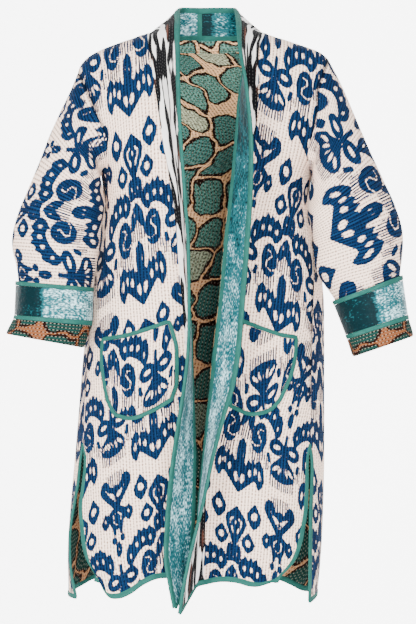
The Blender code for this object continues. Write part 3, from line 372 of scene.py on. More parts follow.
@dataclass(frozen=True)
class Half:
    """One side of the body: its tables, and the forms they describe.

    Attributes:
        side: which side of the wearer it is.
        seam: table of the side seam and the slit.
        armhole_rows: table of the armhole.
        band: table of the front band.
        hems: tables of the front's and the back's hem.
    """

    side: Side
    seam: Table
    armhole_rows: Table
    band: Table
    hems: tuple[Table, Table]

    @property
    def sign(self) -> int:
        """Sign of x on this side."""
        return self.side.value

    def half_width(self, z: Array) -> Array:
        """Half width of the body at a height."""
        return RINGS.read("z", self.side.word, z)

    def point(self, angle: Array, z: Array) -> Array:
        """Point on the body: a superellipse of power RING_POWER at each height.

        Args:
            angle: ring angle in degrees; 0 at the side, 90 in front, -90 behind.
            z: height.

        Returns:
            Points, with the last axis x, y, z.
        """
        z = np.asarray(z, float)
        turn = np.radians(np.asarray(angle, float))
        across = np.sign(np.cos(turn)) * np.abs(np.cos(turn)) ** (2.0 / RING_POWER)
        along = np.sign(np.sin(turn)) * np.abs(np.sin(turn)) ** (2.0 / RING_POWER)
        depth = np.where(along > 0.0, RINGS.read("z", "front", z), RINGS.read("z", "back", z))
        x, y, z = np.broadcast_arrays(self.sign * self.half_width(z) * across, -along * depth, z)
        return np.stack((x, y, z), axis=-1)

    def angle(self, x: Array, z: Array) -> Array:
        """Ring angle on the front half at which the body has a given x."""
        ratio = np.clip(self.sign * np.asarray(x, float) / self.half_width(z), -1.0, 1.0)
        return np.degrees(np.arccos(np.sign(ratio) * np.abs(ratio) ** (RING_POWER / 2.0)))

    def seam_angle(self, z: Array, name: str) -> Array:
        """Ring angle of the side seam, or of the slit's front or back edge."""
        return self.angle(self.sign * self.seam.read("z", name, z), z)

    def band_angle(self, z: Array) -> Array:
        """Ring angle of the seam between the front and its band."""
        return self.angle(self.band.read("z", "seam_x", z), z)

    def armhole(self, name: str) -> Array:
        """Armhole edge as (angle, z) pairs from the underarm to the shoulder point."""
        return np.stack((self.armhole_rows.column(name), self.armhole_rows.column("z")), -1)

    def shoulder(self) -> Array:
        """Shoulder seam as (angle, z) pairs from the armhole to the neck."""
        z = np.linspace(self.armhole("front")[-1, 1], SHOULDER_TOP, SHOULDER_COLUMNS + 1)
        return np.stack((np.zeros_like(z), z), axis=-1)

    def lower_patch(self, name: str, hem: Table, far: Array | None, steps: int) -> Array:
        """Grid of (angle, z) from the hem up to the underarm.

        Args:
            name: seam column of the grid's first edge.
            hem: height of the hem by fraction of the width.
            far: ring angle of the far edge, or None for the seam of the front band.
            steps: number of columns less one.

        Returns:
            (rows, columns, 2) grid; the angle runs evenly from edge to edge.
        """
        cols = np.linspace(0.0, 1.0, steps + 1)
        levels = np.array(LOWER_ROWS, float)
        starts = hem.read("fraction", "z", cols)
        z = np.concatenate((starts[None], [(starts + levels[0]) / 2.0],
                            np.repeat(levels[:, None], steps + 1, axis=1)))
        outer = self.seam_angle(z[:, 0], name)
        end = self.band_angle(z[:, -1]) if far is None else np.full(len(z), far)
        angle = outer[:, None] + (end - outer)[:, None] * cols[None]
        return np.stack((angle, z), axis=-1)

    def front_grid(self) -> Array:
        """Control grid of one front, from its side to the seam of its band.

        Returns:
            (rows, columns, 3) grid.
        """
        low = self.lower_patch("front", self.hems[0], None, SHOULDER_COLUMNS)
        heights = np.array((LOWER_ROWS[-1],) + FRONT_UPPER_ROWS, float)
        angles = self.band_angle(heights)
        angles[-1] = 0.0
        high = coons(self.armhole("front"), np.stack((angles, heights), axis=-1), low[-1],
                     self.shoulder())
        grid = np.concatenate((low, high[1:]))
        return self.point(grid[..., 0], grid[..., 1])

    def back_half(self) -> Array:
        """Control grid of one half of the back, from its side to the centre.

        Returns:
            (rows, columns, 3) grid.
        """
        steps = SHOULDER_COLUMNS + NECK_STEPS
        middle = BACK_CENTRE - JOINT_TURN * self.sign
        low = self.lower_patch("back", self.hems[1], middle, steps)
        heights = np.array((LOWER_ROWS[-1],) + BACK_UPPER_ROWS, float)
        centre = np.stack((np.full_like(heights, middle), heights), axis=-1)
        turns = np.linspace(0.0, middle, NECK_STEPS + 1)[1:]
        neck = NECK.read("angle", "seam_z", np.maximum(turns, 2.0 * BACK_CENTRE - turns))
        top = np.concatenate((self.shoulder(), np.stack((turns, neck), axis=-1)))
        grid = np.concatenate((low, coons(self.armhole("back"), centre, low[-1], top)[1:]))
        return self.point(grid[..., 0], grid[..., 1])

    def band_grid(self, front: Array) -> Array:
        """Control grid of the band: up the front, then round the neck.

        Args:
            front: control grid of the front, whose last column is the band's seam.

        Returns:
            (rows, 13, 3) grid from the seam, round the rolled corner, to the free edge.
        """
        rows = []
        for index, seam in enumerate(front[:, -1]):
            tangent = unit(front[index, -1] - front[index, -2])
            if index > 1:
                tangent = unit(tangent * np.array((1.0, 1.0, 0.3)))
            size = {name: float(self.band.read("z", name, seam[2]))
                    for name in ("edge_x", "reach", "drop", "flat")}
            edge = np.array((size["edge_x"], seam[1] - size["reach"], seam[2] - size["drop"]))
            rows.append(band_section(seam, tangent, edge, size["flat"]))
        reach = BACK_CENTRE - JOINT_TURN * self.sign
        rows += [self.neck_section(float(angle))
                 for angle in np.linspace(0.0, reach, NECK_STEPS + 1)[1:]]
        return np.array(rows)

    def neck_section(self, angle: float) -> Array:
        """Band section behind the shoulder seam.

        Args:
            angle: ring angle, from 0 at the shoulder past -90 at the centre back.

        Returns:
            (13, 3) points.
        """
        own = max(angle, 2.0 * BACK_CENTRE - angle)
        z = float(NECK.read("angle", "seam_z", own))
        seam, below = self.point(angle, z), self.point(angle, z - 6.0)
        tangent = unit(seam - below)
        across = 1.0 if angle >= BACK_CENTRE else -1.0
        edge = np.array([float(NECK.read("angle", name, own))
                         for name in ("edge_x", "edge_y", "edge_z")])
        edge[0] *= self.sign * across
        if abs(angle - BACK_CENTRE) <= JOINT_TURN:
            seam[0] = edge[0] = COLLAR_JOINT_X + self.sign * GAP / 2.0
            tangent = unit(tangent * np.array((0.0, 1.0, 1.0)))
        return band_section(seam + tangent * NECK_CLEARANCE, tangent, edge, 2.0)


def coons(left: Array, right: Array, bottom: Array, top: Array) -> Array:
    """Fill a patch from its four edges: across plus upward, less the corners' blend.

    Args:
        left: (rows, k) first edge.
        right: (rows, k) last edge.
        bottom: (columns, k) lower edge.
        top: (columns, k) upper edge.

    Returns:
        (rows, columns, k) grid.
    """
    rows = np.linspace(0.0, 1.0, len(left))[:, None, None]
    cols = np.linspace(0.0, 1.0, len(bottom))[None, :, None]
    across = (1.0 - cols) * left[:, None] + cols * right[:, None]
    upward = (1.0 - rows) * bottom[None] + rows * top[None]
    corners = ((1.0 - rows) * ((1.0 - cols) * left[0] + cols * right[0])
               + rows * ((1.0 - cols) * left[-1] + cols * right[-1]))
    return across + upward - corners


def band_section(seam: Array, tangent: Array, edge: Array, flat: float) -> Array:
    """Points across one band: its seam, a rolled corner, the facing and the free edge.

    Args:
        seam: point where the band begins.
        tangent: unit direction of the body's cloth there.
        edge: free edge of the facing.
        flat: length of flat cloth before the roll.

    Returns:
        (13, 3) points.
    """
    corner, radius = seam + tangent * flat, FOLD_RADIUS
    for _ in range(4):
        run = unit(edge - corner)
        bend = math.acos(float(np.clip(np.dot(run, tangent), -1.0, 1.0)))
        radius = (FOLD_RADIUS + FOLD_GROWTH
                  * max(0.0, 1.0 - bend / math.radians(EASY_BEND)) ** 2)
        corner = seam + tangent * (flat + radius * math.tan(bend / 2.0))
    inward = unit(run - tangent * np.dot(run, tangent))
    centre = seam + tangent * flat + inward * radius
    turns = np.linspace(0.0, bend, 4)[:, None]
    arc = centre + radius * (np.sin(turns) * tangent - np.cos(turns) * inward)
    length = float(np.linalg.norm(edge - arc[-1]))
    stops = np.array((GAP, INNER_BINDING, 0.38 * length, 0.66 * length, length - EDGE_BINDING,
                      length - EDGE_BINDING + 1.1, length - 2.0, length))
    return np.concatenate((seam[None], arc, arc[-1] + run * stops[:, None]))


def tube_ring(row: Array, angles: Array, inset: float = 0.0) -> Array:
    """Ring of a sleeve or cuff: an ellipse on its outline's width and its half depth.

    Args:
        row: outer x and z, inner x and z, middle y and half depth.
        angles: where round the ring each point lies.
        inset: how far inside the outline.

    Returns:
        A point for each angle.
    """
    outer, inner = np.array((row[0], 0.0, row[1])), np.array((row[2], 0.0, row[3]))
    middle = (outer + inner) / 2.0
    middle[1] = row[4]
    half = (outer - inner) / 2.0
    half *= 1.0 - inset / np.linalg.norm(half)
    depth = np.array((0.0, -(row[5] - inset), 0.0))
    return middle + half * np.cos(angles)[:, None] + depth * np.sin(angles)[:, None]


def cuff_row(table: Table, fraction: float) -> Array:
    """Cuff outline at a fraction from its turned end (0) to its upper edge (1).

    Args:
        table: table of the cuff's outlines.
        fraction: where to read it.

    Returns:
        The outline's row of sizes.
    """
    rows = np.array(table.rows)
    return np.array([np.interp(fraction, (0.0, CUFF_JOINT, 1.0), rows[:, item])
                     for item in range(rows.shape[1])])


HALVES = {side: Half(side, SEAMS[side], ARMHOLES[side], BANDS[side],
                     (FRONT_HEMS[side], BACK_HEMS[side])) for side in Side}


Corners = tuple[tuple[float, float], ...]
COMB_DYE = -0.6         # depth of dye at which a comb's threads show


@dataclass(frozen=True)
class Mark:
    """One mark of the dyed pattern, mirrored about its column.

    Attributes:
        at: middle of an oval, or start of a stroke, as (across, up) from the crown.
        size: half sizes of an oval, or end of a stroke.
        turn: degrees an oval leans, or a stroke's half thickness.
        corners: corners of an area, which then has no middle or size.
        bare: whether the mark is a gap left in the dye.
        most: greatest depth the mark may have; near nought it breaks up into threads.
    """

    at: tuple[float, float] = (0.0, 0.0)
    size: tuple[float, float] = (0.0, 0.0)
    turn: float = 0.0
    corners: Corners = ()
    bare: bool = False
    most: float = 99.0

    def depth(self, across: Array, up: Array) -> Array:
        """Signed distance into the mark.

        An oval's is one less its radius ratio, times its smaller half.

        Args:
            across: unsigned weft distance from the column, in pattern units.
            up: warp distance above the crown.

        Returns:
            Positive inside, negative outside.
        """
        if self.corners:
            return area_depth(self.corners, across, up)
        turn = math.radians(self.turn)
        x, y = across - self.at[0], up - self.at[1]
        a = (x * math.cos(turn) - y * math.sin(turn)) / self.size[0]
        b = (x * math.sin(turn) + y * math.cos(turn)) / self.size[1]
        return (1.0 - np.hypot(a, b)) * min(self.size)


@dataclass(frozen=True)
class Stroke(Mark):
    """A straight mark with round ends."""

    def depth(self, across: Array, up: Array) -> Array:
        """Half thickness less the distance to the stroke's line.

        Args:
            across: unsigned weft distance from the column, in pattern units.
            up: warp distance above the crown.

        Returns:
            Positive inside, negative outside.
        """
        x, y = across - self.at[0], up - self.at[1]
        end = np.array(self.size) - np.array(self.at)
        share = np.clip((x * end[0] + y * end[1]) / float(end @ end), 0.0, 1.0)
        return self.turn - np.hypot(x - share * end[0], y - share * end[1])


def area_depth(corners: Corners, x: Array, y: Array) -> Array:
    """Signed distance into a polygon.

    Its size is the least distance to an edge; its sign comes from how many edges a line
    from the point toward +x crosses, an odd count being inside.

    Args:
        corners: the polygon's corners in order.
        x: first coordinate of each point.
        y: second coordinate of each point.

    Returns:
        Positive inside, negative outside.
    """
    least = np.full(x.shape, np.inf)
    inside = np.zeros(x.shape, dtype=bool)
    for start, end in zip(corners, corners[1:] + corners[:1]):
        dx, dy = end[0] - start[0], end[1] - start[1]
        share = np.clip(((x - start[0]) * dx + (y - start[1]) * dy) / (dx * dx + dy * dy), 0, 1)
        least = np.minimum(least, np.hypot(x - start[0] - share * dx, y - start[1] - share * dy))
        if dy:
            crossed = (start[1] > y) != (end[1] > y)
            inside ^= crossed & (x < start[0] + (y - start[1]) * dx / dy)
    return np.where(inside, least, -least)


def oval(x: float, y: float, half: float, tall: float, turn: float = 0.0,
         bare: bool = False) -> Mark:
    """An oval mark."""
    return Mark((x, y), (half, tall), turn, bare=bare)


def hole(x: float, y: float, half: float, tall: float, turn: float = 0.0) -> Mark:
    """An oval gap in the dye."""
    return oval(x, y, half, tall, turn, bare=True)


def line(x: float, y: float, to_x: float, to_y: float, half: float,
         bare: bool = False) -> Mark:
    """A straight stroke with round ends."""
    return Stroke((x, y), (to_x, to_y), half, bare=bare)


def area(*numbers: float, bare: bool = False) -> Mark:
    """An area from its corners' coordinates in turn."""
    return Mark(corners=tuple(zip(numbers[::2], numbers[1::2])), bare=bare)


def comb(*numbers: float) -> Mark:
    """An area where only the threads of the stripe are dyed."""
    return Mark(corners=tuple(zip(numbers[::2], numbers[1::2])), most=COMB_DYE)


def lozenge(x: float, y: float, half: float, tall: float) -> Mark:
    """A pointed lozenge with full sides.

    Args:
        x: its middle across.
        y: its middle up.
        half: half its width.
        tall: half its height.

    Returns:
        The mark.
    """
    shape = ((0, 1), (0.55, 0.5), (1, 0.05), (0.85, -0.4), (0.4, -0.8), (0, -1),
             (-0.4, -0.8), (-0.85, -0.4), (-1, 0.05), (-0.55, 0.5))
    return Mark(corners=tuple((x + half * a, y + tall * b) for a, b in shape))


# Crown column, from the crown down: crown, lozenges, palmette, rings, garland, bell, scrolls.
CROWN = (
    area(-8, 27, -8, 4, 0, -2, 8, 8, 11.5, 12.5, 15, 17, 17, 17, 20.3, 8.5, 23, 12, 25.3, 19,
         25, 28, 23, 36, 19.5, 41.5, 16.5, 38, 15.5, 33, 13, 39.5, 11, 33, 8.3, 39, 6.5, 29,
         3.6, 34, 1.2, 24, 0, 31, -1.2, 24),
    hole(3.2, 14.5, 2.6, 7.0, 8), hole(10.4, 23.5, 2.3, 5.4), hole(15.8, 27.8, 1.8, 5.8),
    hole(20.8, 24.5, 2.0, 7.2, -8),
    lozenge(18.2, -22.5, 7.3, 14.5), hole(18.2, -22.3, 3.5, 5.6, 15),
    area(-8, -25, 0, -18, 5.5, -25, 9.5, -30, 10.4, -35, 9, -42, 6, -49, 3, -57, 0, -66, -8, -50),
    area(-8, -34, 0, -29.5, 4, -30.5, 6.8, -34, 6.3, -39.5, 4.2, -46, 2.0, -52, 0, -55, -8, -50,
         bare=True),
    lozenge(0, -37, 4.2, 8.6), hole(0, -36.5, 1.2, 3.6), line(0, -45, 0, -58, 1.2),
    lozenge(13.7, -54, 6.7, 11.2), hole(13.7, -54.5, 3.2, 4.8),
    oval(3.7, -70.5, 3.6, 9.0), hole(3.4, -70.5, 1.0, 4.4), line(0, -78, 5, -80, 1.3),
    area(5.5, -84, 7.5, -77, 10, -73.5, 12.5, -69.5, 15, -75, 18.5, -68.5, 20.5, -74, 23.7, -68,
         26, -76, 28.5, -73.5, 31, -82, 34.5, -80, 37.5, -90, 38.0, -97, 36, -103, 33.5, -107,
         30, -100, 25, -94, 19, -90, 15, -90.5, 12.5, -94.5, 9, -92),
    hole(12, -83, 1.9, 4.6), hole(19.4, -82, 2.0, 4.6), hole(26.2, -84.5, 1.9, 4.7),
    hole(33.2, -94.5, 1.5, 4.8, 8),
    area(-8, -89, 0, -84, 3.5, -89, 6, -95, 7.2, -103, 6.4, -110, 3.8, -107, 0, -100, -8, -100),
    hole(2.8, -94.5, 1.0, 4.2, 8), comb(-8, -98, 5, -103, 6.4, -120, -8, -120),
    oval(15.4, -113.5, 7.8, 16.4), line(18.4, -104, 14.6, -104.5, 1.1, bare=True),
    line(14.6, -104.5, 13.4, -109, 1.1, bare=True),
    line(13.4, -109, 18.0, -116, 1.2, bare=True), line(18.0, -116, 17.4, -121.5, 1.1, bare=True),
    line(17.4, -121.5, 12.2, -123.5, 1.1, bare=True),
    line(12.2, -123.5, 7.4, -119, 1.1, bare=True), oval(12.2, -118.3, 1.8, 2.6),
    comb(8, -128, 16, -129, 23, -124, 23, -134, 19, -139, 10, -141),
    area(-8, -136, -3.5, -126, 0, -121, 3.5, -126, 4.6, -136, 4.0, -145, 2.0, -153, 0, -166,
         -8, -150),
    hole(1.8, -137, 0.8, 6.0),
)
# Fan column, half way between two crowns: wings, a fan, antlers and a ringed bud.
FAN = (
    line(0, -98, 0, -121, 1.2), oval(9.4, -114.5, 7.9, 8.6), hole(9.2, -114.5, 4.8, 3.1, 12),
    area(-8, -117, 0, -117, 3.4, -123, 6.6, -128, 11.4, -133.5, 13.8, -140, 12.2, -146.5,
         6.5, -150.5, 0, -152, -8, -152),
    hole(8.3, -138, 2.2, 6.2, -38), hole(3.9, -139.5, 1.7, 7.0, -14), hole(0, -140.5, 1.0, 6.6),
    comb(-8, -149, 13.5, -144, 12.8, -159, -8, -163),
    line(17.4, -126, 15.6, -133, 1.4), comb(16.4, -130, 20, -130, 20, -144, 16.4, -144),
    comb(-8, 10, 9.6, 8, 8, 1, 5, -8, -8, -8),
    area(8.5, 1.6, 10.5, 3.5, 13, 3.5, 15.5, 0.5, 16.9, -5, 16.6, -9, 13.5, -15, 9.8, -20.5,
         4.8, -27.5, 3, -32, 0, -33, -8, -33, -8, -25, 0.7, -25, 6, -17.4, 11.6, -7.5, 11.4, -5,
         7.9, -10.5, 4, -13, 1, -12.5, -8, -12.5, -8, -7.8, 1.6, -7.8, 5.4, -7),
    oval(0, -11, 2.4, 5.4), hole(0, -10.5, 0.8, 2.4), oval(0, -20, 1.2, 2.2),
    area(-8, -33, 0, -32, 3, -34, 6.5, -37.5, 8, -41, 7.6, -46, 5.8, -52, 4.7, -57, 4.4, -62,
         2.4, -62, 2, -57, 0, -55, -8, -55),
    area(-8, -36, 0, -36, 3.2, -37.5, 5.5, -41, 5.2, -45.5, 3, -50.5, 0, -53, -8, -53, bare=True),
    lozenge(0, -43.5, 3.2, 7.4), line(0, -34, 0, -39, 0.7),
    lozenge(12.8, -42.5, 4.5, 9.4), hole(12.8, -42, 1.6, 3.3), line(10, -38, 4, -33.5, 1.3),
    oval(4.5, -68, 2.2, 3.6), oval(0, -80, 2.8, 8.0), hole(0, -80, 0.8, 4.2),
)
PERIOD = 180.0          # pattern units up the warp from crown to crown
COLUMN = 45.0           # pattern units across the weft from crown column to fan column
REACH = (-168.0, 45.0)  # lowest and highest point of a column's marks
HALF_REACH = 44.0       # farthest that a mark lies from its column
BARE = -9.0             # depth of the dye far from every mark


def dye_depth(across: Array, up: Array) -> Array:
    """Signed depth of the blue dye at each point of the pattern.

    The points are folded into the columns and periods nearest to them; in each, dyed marks
    are joined by taking the largest depth and the bare marks are then taken out.

    Args:
        across: weft position from a crown column, in pattern units.
        up: warp position above a crown, in pattern units.

    Returns:
        Depth, positive where the cloth is dyed.
    """
    shape = across.shape
    across, up = across.ravel(), up.ravel()
    total = np.full(across.shape, BARE)
    nearest = np.round(across / COLUMN)
    for step in (-1.0, 0.0, 1.0):
        away = np.abs(across - (nearest + step) * COLUMN)
        crown = np.mod(nearest + step, 2.0) == 0.0
        for shift in (0.0, PERIOD):
            height = np.mod(up - REACH[1], PERIOD) + REACH[1] - PERIOD - shift
            for marks, kind in ((CROWN, crown), (FAN, ~crown)):
                spots = np.flatnonzero(kind & (away < HALF_REACH) & (height > REACH[0]))
                total[spots] = np.maximum(total[spots],
                                          marks_depth(marks, away[spots], height[spots]))
    return total.reshape(shape)


def marks_depth(marks: tuple[Mark, ...], away: Array, height: Array) -> Array:
    """Depth of one column's marks, taken in order.

    Args:
        marks: the column's marks.
        away: distance of each point from the column.
        height: its height above the crown.

    Returns:
        Depth of the dye at each point.
    """
    depth = np.full(away.shape, BARE)
    for mark in marks:
        own = np.minimum(mark.depth(away, height), mark.most)
        depth = np.minimum(depth, -own) if mark.bare else np.maximum(depth, own)
    return depth


Colour = tuple[float, float, float]
Socket = bpy.types.NodeSocket
Value = Socket | float


@dataclass(frozen=True)
class Finish:
    """Colours and surface of one cloth, in linear light.

    Attributes:
        light: the cloth's pale colour.
        dark: the dye's or shadow's colour.
        accent: a third colour, for threads or printed marks.
        roughness: surface roughness.
        sheen: weight of the soft fibre sheen.
        depth: metres of bump for a height of 1.
    """

    light: Colour
    dark: Colour
    accent: Colour
    roughness: float
    sheen: float
    depth: float


FINISHES = {
    Cloth.IKAT: Finish((1.0, 0.775, 0.65), (0.002, 0.010, 0.036), (0.005, 0.028, 0.085),
                       0.9, 0.0, 0.0018),
    Cloth.STRIPE: Finish((0.80, 0.78, 0.76), (0.004, 0.004, 0.005), (0.08, 0.03, 0.02),
                         0.8, 0.0, 0.0014),
    # the velvet's pale colour is painted sheen of the pile
    Cloth.VELVET: Finish((0.54, 0.86, 0.93), (0.001, 0.011, 0.014), (0.008, 0.085, 0.10),
                         0.45, 0.1, 0.0030),
    Cloth.BINDING: Finish((0.018, 0.095, 0.078), (0.008, 0.052, 0.045), (0.03, 0.13, 0.11),
                          0.8, 0.02, 0.0012),
    Cloth.LINING: Finish((1.0, 0.60, 0.32), (0.012, 0.004, 0.003), (0.075, 0.24, 0.21),
                         0.9, 0.0, 0.0018),
}
SPECULAR = 0.04
SHEEN_ROUGHNESS = 0.4
STITCH_PITCH = 0.0060   # metres between rows of running stitches
STITCH_LENGTH = 0.0072  # metres from one stitch to the next
WEFT_PITCH = 0.0047     # metres between the weft's ribs
COMB_PITCH = 0.0046     # metres between the threads of a comb
VALLEY_SHADE = (0.26, 0.19, 0.15)     # painted shade of the cloth down at the stitches
RIDGE_HIGHLIGHT = (1.06, 1.05, 1.03)      # painted highlight up between them
PEBBLE_RADIUS = 0.62    # in cells
PEBBLE_GREEN = (0.13, 0.34, 0.28)
PEBBLE_PALE = (0.60, 0.66, 0.45)
PEBBLE_SHADE = (0.008, 0.035, 0.03)
GROUND_SHADE = (0.16, 0.055, 0.022)
GROUND_FLECK = (0.20, 0.07, 0.03)
LINING_THREAD = (0.80, 0.70, 0.55)


class Shader:
    """Node tree of one cloth's material, with short calls for the nodes it uses."""

    def __init__(self, cloth: Cloth) -> None:
        """Start an empty material for a cloth.

        Args:
            cloth: which cloth.
        """
        self.finish = FINISHES[cloth]
        self.material = bpy.data.materials.new(cloth.value)
        self.material.use_nodes = True
        self.tree = self.material.node_tree
        self.surface = self.tree.nodes["Principled BSDF"]
        for name, value in (("Roughness", self.finish.roughness),
                            ("Sheen Weight", self.finish.sheen),
                            ("Sheen Roughness", SHEEN_ROUGHNESS),
                            ("Specular IOR Level", SPECULAR)):
            self.surface.inputs[name].default_value = value
        place = self.node("ShaderNodeUVMap", uv_map="cloth")
        split = self.node("ShaderNodeSeparateXYZ", place.outputs[0])
        self.u, self.v = split.outputs[0], split.outputs[1]

    def put(self, socket: Socket, value: Value | tuple) -> None:
        """Link a socket, or set it to a constant.

        Args:
            socket: the input.
            value: a socket or a constant.
        """
        if isinstance(value, bpy.types.NodeSocket):
            self.tree.links.new(value, socket)
        else:
            socket.default_value = value

    def node(self, kind: str, *values: Value | tuple, **options: str | bool) -> bpy.types.Node:
        """Add a node, set its options and fill its first sockets.

        Args:
            kind: type of the node.
            values: its first inputs, each a socket or a constant.
            options: its settings by name.

        Returns:
            The node.
        """
        node = self.tree.nodes.new(kind)
        for name, option in options.items():
            setattr(node, name, option)
        for socket, value in zip(node.inputs, values):
            self.put(socket, value)
        return node

    def attribute(self, name: str) -> Socket:
        """A piece's own per-point number."""
        return self.node("ShaderNodeAttribute", attribute_name=name).outputs["Fac"]

    def math(self, kind: str, *values: Value) -> Socket:
        """Result of one arithmetic node."""
        return self.node("ShaderNodeMath", *values, operation=kind).outputs[0]

    def times(self, first: Value, second: Value) -> Socket:
        """Product of two values."""
        return self.math("MULTIPLY", first, second)

    def plus(self, first: Value, second: Value) -> Socket:
        """Sum of two values."""
        return self.math("ADD", first, second)

    def times_plus(self, first: Value, second: Value, third: Value) -> Socket:
        """Product of the first two values, plus the third."""
        return self.math("MULTIPLY_ADD", first, second, third)

    def arch(self, value: Value) -> Socket:
        """Absolute sine, a row of arches."""
        return self.math("ABSOLUTE", self.math("SINE", value))

    def scaled(self, across: float, up: float, seed: float = 0.0) -> Socket:
        """Cloth position with its weft and warp scaled apart, in features per metre."""
        return self.node("ShaderNodeCombineXYZ", self.times(self.u, across),
                         self.times(self.v, up), seed).outputs[0]

    def noise(self, across: float, up: float, seed: float = 0.0, detail: float = 2.0) -> Socket:
        """Soft noise from 0 to 1.

        Args:
            across: features per metre of weft.
            up: features per metre of warp.
            seed: which noise.
            detail: how many finer layers it has.

        Returns:
            The noise.
        """
        node = self.node("ShaderNodeTexNoise", self.scaled(across, up, seed))
        node.inputs["Scale"].default_value = 1.0
        node.inputs["Detail"].default_value = detail
        return node.outputs[0]

    def step(self, value: Value, low: float, high: float, start: float = 0.0,
             end: float = 1.0) -> Socket:
        """Smooth step from one level to another.

        Args:
            value: what is read.
            low: where the step begins.
            high: where it ends.
            start: level below it.
            end: level above it.

        Returns:
            The level.
        """
        return self.node("ShaderNodeMapRange", value, low, high, start, end,
                         interpolation_type="SMOOTHSTEP").outputs[0]

    def blend(self, share: Value, first: Socket | Colour, second: Socket | Colour,
              kind: str = "MIX") -> Socket:
        """Mix of two colours.

        Args:
            share: how much of the second.
            first: one colour.
            second: the other.
            kind: how they are mixed.

        Returns:
            The colour.
        """
        node = self.node("ShaderNodeMix", data_type="RGBA", blend_type=kind)
        for place, value in ((0, share), (6, first), (7, second)):
            self.put(node.inputs[place], (*value, 1.0) if isinstance(value, tuple) else value)
        return node.outputs[2]

    def quilting(self) -> tuple[Socket, Socket, Socket]:
        """Running stitches: rows a pitch apart, and dashes along them.

        A row lies where the weft position over the pitch is half way between whole numbers.
        Height between rows is the absolute sine of that position, lowered by the dashes,
        whose start is shifted from row to row by a noise of the row's number.

        Returns:
            Height from 0 to 1, the thread's mask, and the height with soft creases.
        """
        row = self.math("DIVIDE", self.plus(self.u, self.times(self.noise(9.0, 9.0, 4.0), 0.004)),
                        STITCH_PITCH)
        puff = self.arch(self.times(row, math.pi))
        shift = self.node("ShaderNodeTexWhiteNoise", noise_dimensions="1D")
        self.put(shift.inputs["W"], self.math("FLOOR", self.plus(row, 0.5)))
        along = self.plus(self.math("DIVIDE", self.v, STITCH_LENGTH), shift.outputs[0])
        wave = self.math("SINE", self.times(along, 2.0 * math.pi))
        thread = self.times(self.step(puff, 0.10, 0.42, 1.0, 0.0), self.step(wave, 0.1, 0.4))
        weft = self.arch(self.times_plus(self.v, math.pi / WEFT_PITCH,
                                         self.times(self.noise(60.0, 60.0, 8.0), 5.0)))
        pucker = self.times_plus(wave, 0.14, self.times(self.noise(140.0, 330.0, 2.0), 0.6))
        crease = self.times(self.noise(13.0, 8.0, 6.0, 3.0), 5.0)
        height = self.times_plus(weft, 0.45, self.plus(self.math("POWER", puff, 1.5), pucker))
        bumps = self.times(height, 0.42)
        return bumps, thread, self.plus(bumps, crease)

    def shade_in_rows(self, colour: Socket, height: Socket) -> Socket:
        """A colour given painted shade in the rows of stitches and painted highlight between them.
        """
        row_shade = self.blend(self.step(height, 0.16, 0.56), VALLEY_SHADE, RIDGE_HIGHLIGHT)
        return self.blend(1.0, colour, row_shade, "MULTIPLY")

    def finished(self, colour: Socket, height: Socket) -> bpy.types.Material:
        """Join a colour and a bump height to the surface, and return the material.

        Args:
            colour: base colour.
            height: bump height from 0 to 1.

        Returns:
            The finished material.
        """
        bump = self.node("ShaderNodeBump")
        for name, value in (("Strength", 1.0), ("Distance", self.finish.depth),
                            ("Height", height)):
            self.put(bump.inputs[name], value)
        self.put(self.surface.inputs["Normal"], bump.outputs[0])
        self.put(self.surface.inputs["Base Color"], colour)
        return self.material


def ikat_material() -> bpy.types.Material:
    """Cream cotton with blue warp dye, feathered along the warp, and running stitches.

    Returns:
        The finished material.
    """
    shader = Shader(Cloth.IKAT)
    own = shader.finish
    fray = shader.times_plus(shader.noise(750.0, 60.0, 1.0), 1.5, -0.2)
    sway = shader.times(shader.noise(70.0, 20.0, 7.0), 9.0)
    stripe = shader.math("SINE", shader.times_plus(shader.u, 2.0 * math.pi / COMB_PITCH, sway))
    dye = shader.attribute("dye")
    combed = shader.step(shader.math("ABSOLUTE", shader.plus(dye, -COMB_DYE)), 0.05, 0.14,
                         1.0, 0.12)
    depth = shader.plus(dye, shader.times_plus(stripe, combed, fray))
    mask = shader.step(depth, -0.35, 0.25)
    tone = shader.step(shader.noise(620.0, 22.0, 3.0, 3.0), 0.38, 0.70)
    blue = shader.blend(tone, own.dark, own.accent)
    shade = tuple(0.93 * part for part in own.light)
    cream = shader.blend(shader.noise(1500.0, 60.0, 5.0), shade, own.light)
    haze = shader.times(shader.step(depth, -4.0, 0.0), 0.06)
    cream = shader.blend(haze, cream, own.accent)
    height, thread, relief = shader.quilting()
    colour = shader.shade_in_rows(shader.blend(mask, cream, blue), height)
    # painted shadow: the colour is darkened along the side seams and round the armholes
    seam_shadow = shader.step(shader.attribute("painted_seam_shadow"), 0.0, 1.0, 1.0, 0.12)
    colour = shader.blend(1.0, colour, shader.node(
        "ShaderNodeCombineXYZ", seam_shadow, seam_shadow, seam_shadow).outputs[0], "MULTIPLY")
    pale = shader.times(thread, shader.math("SUBTRACT", 1.0, mask))
    colour = shader.blend(shader.times(pale, 0.5), colour, own.light)
    return shader.finished(colour, relief)


def stripe_material() -> bpy.types.Material:
    """Black and white streaks along the warp, with a few brown ones, and stitches.

    Returns:
        The finished material.
    """
    shader = Shader(Cloth.STRIPE)
    own = shader.finish
    streak = shader.plus(shader.noise(70.0, 13.0, 1.0, 1.0),
                         shader.times(shader.noise(700.0, 34.0, 2.0), 0.10))
    brown = shader.step(shader.noise(40.0, 6.0, 9.0), 0.62, 0.68)
    dark = shader.blend(brown, own.dark, own.accent)
    colour = shader.blend(shader.step(streak, 0.52, 0.545, 1.0, 0.0), dark, own.light)
    _, thread, relief = shader.quilting()
    colour = shader.blend(shader.times(thread, 0.08), colour, own.light)
    return shader.finished(colour, relief)


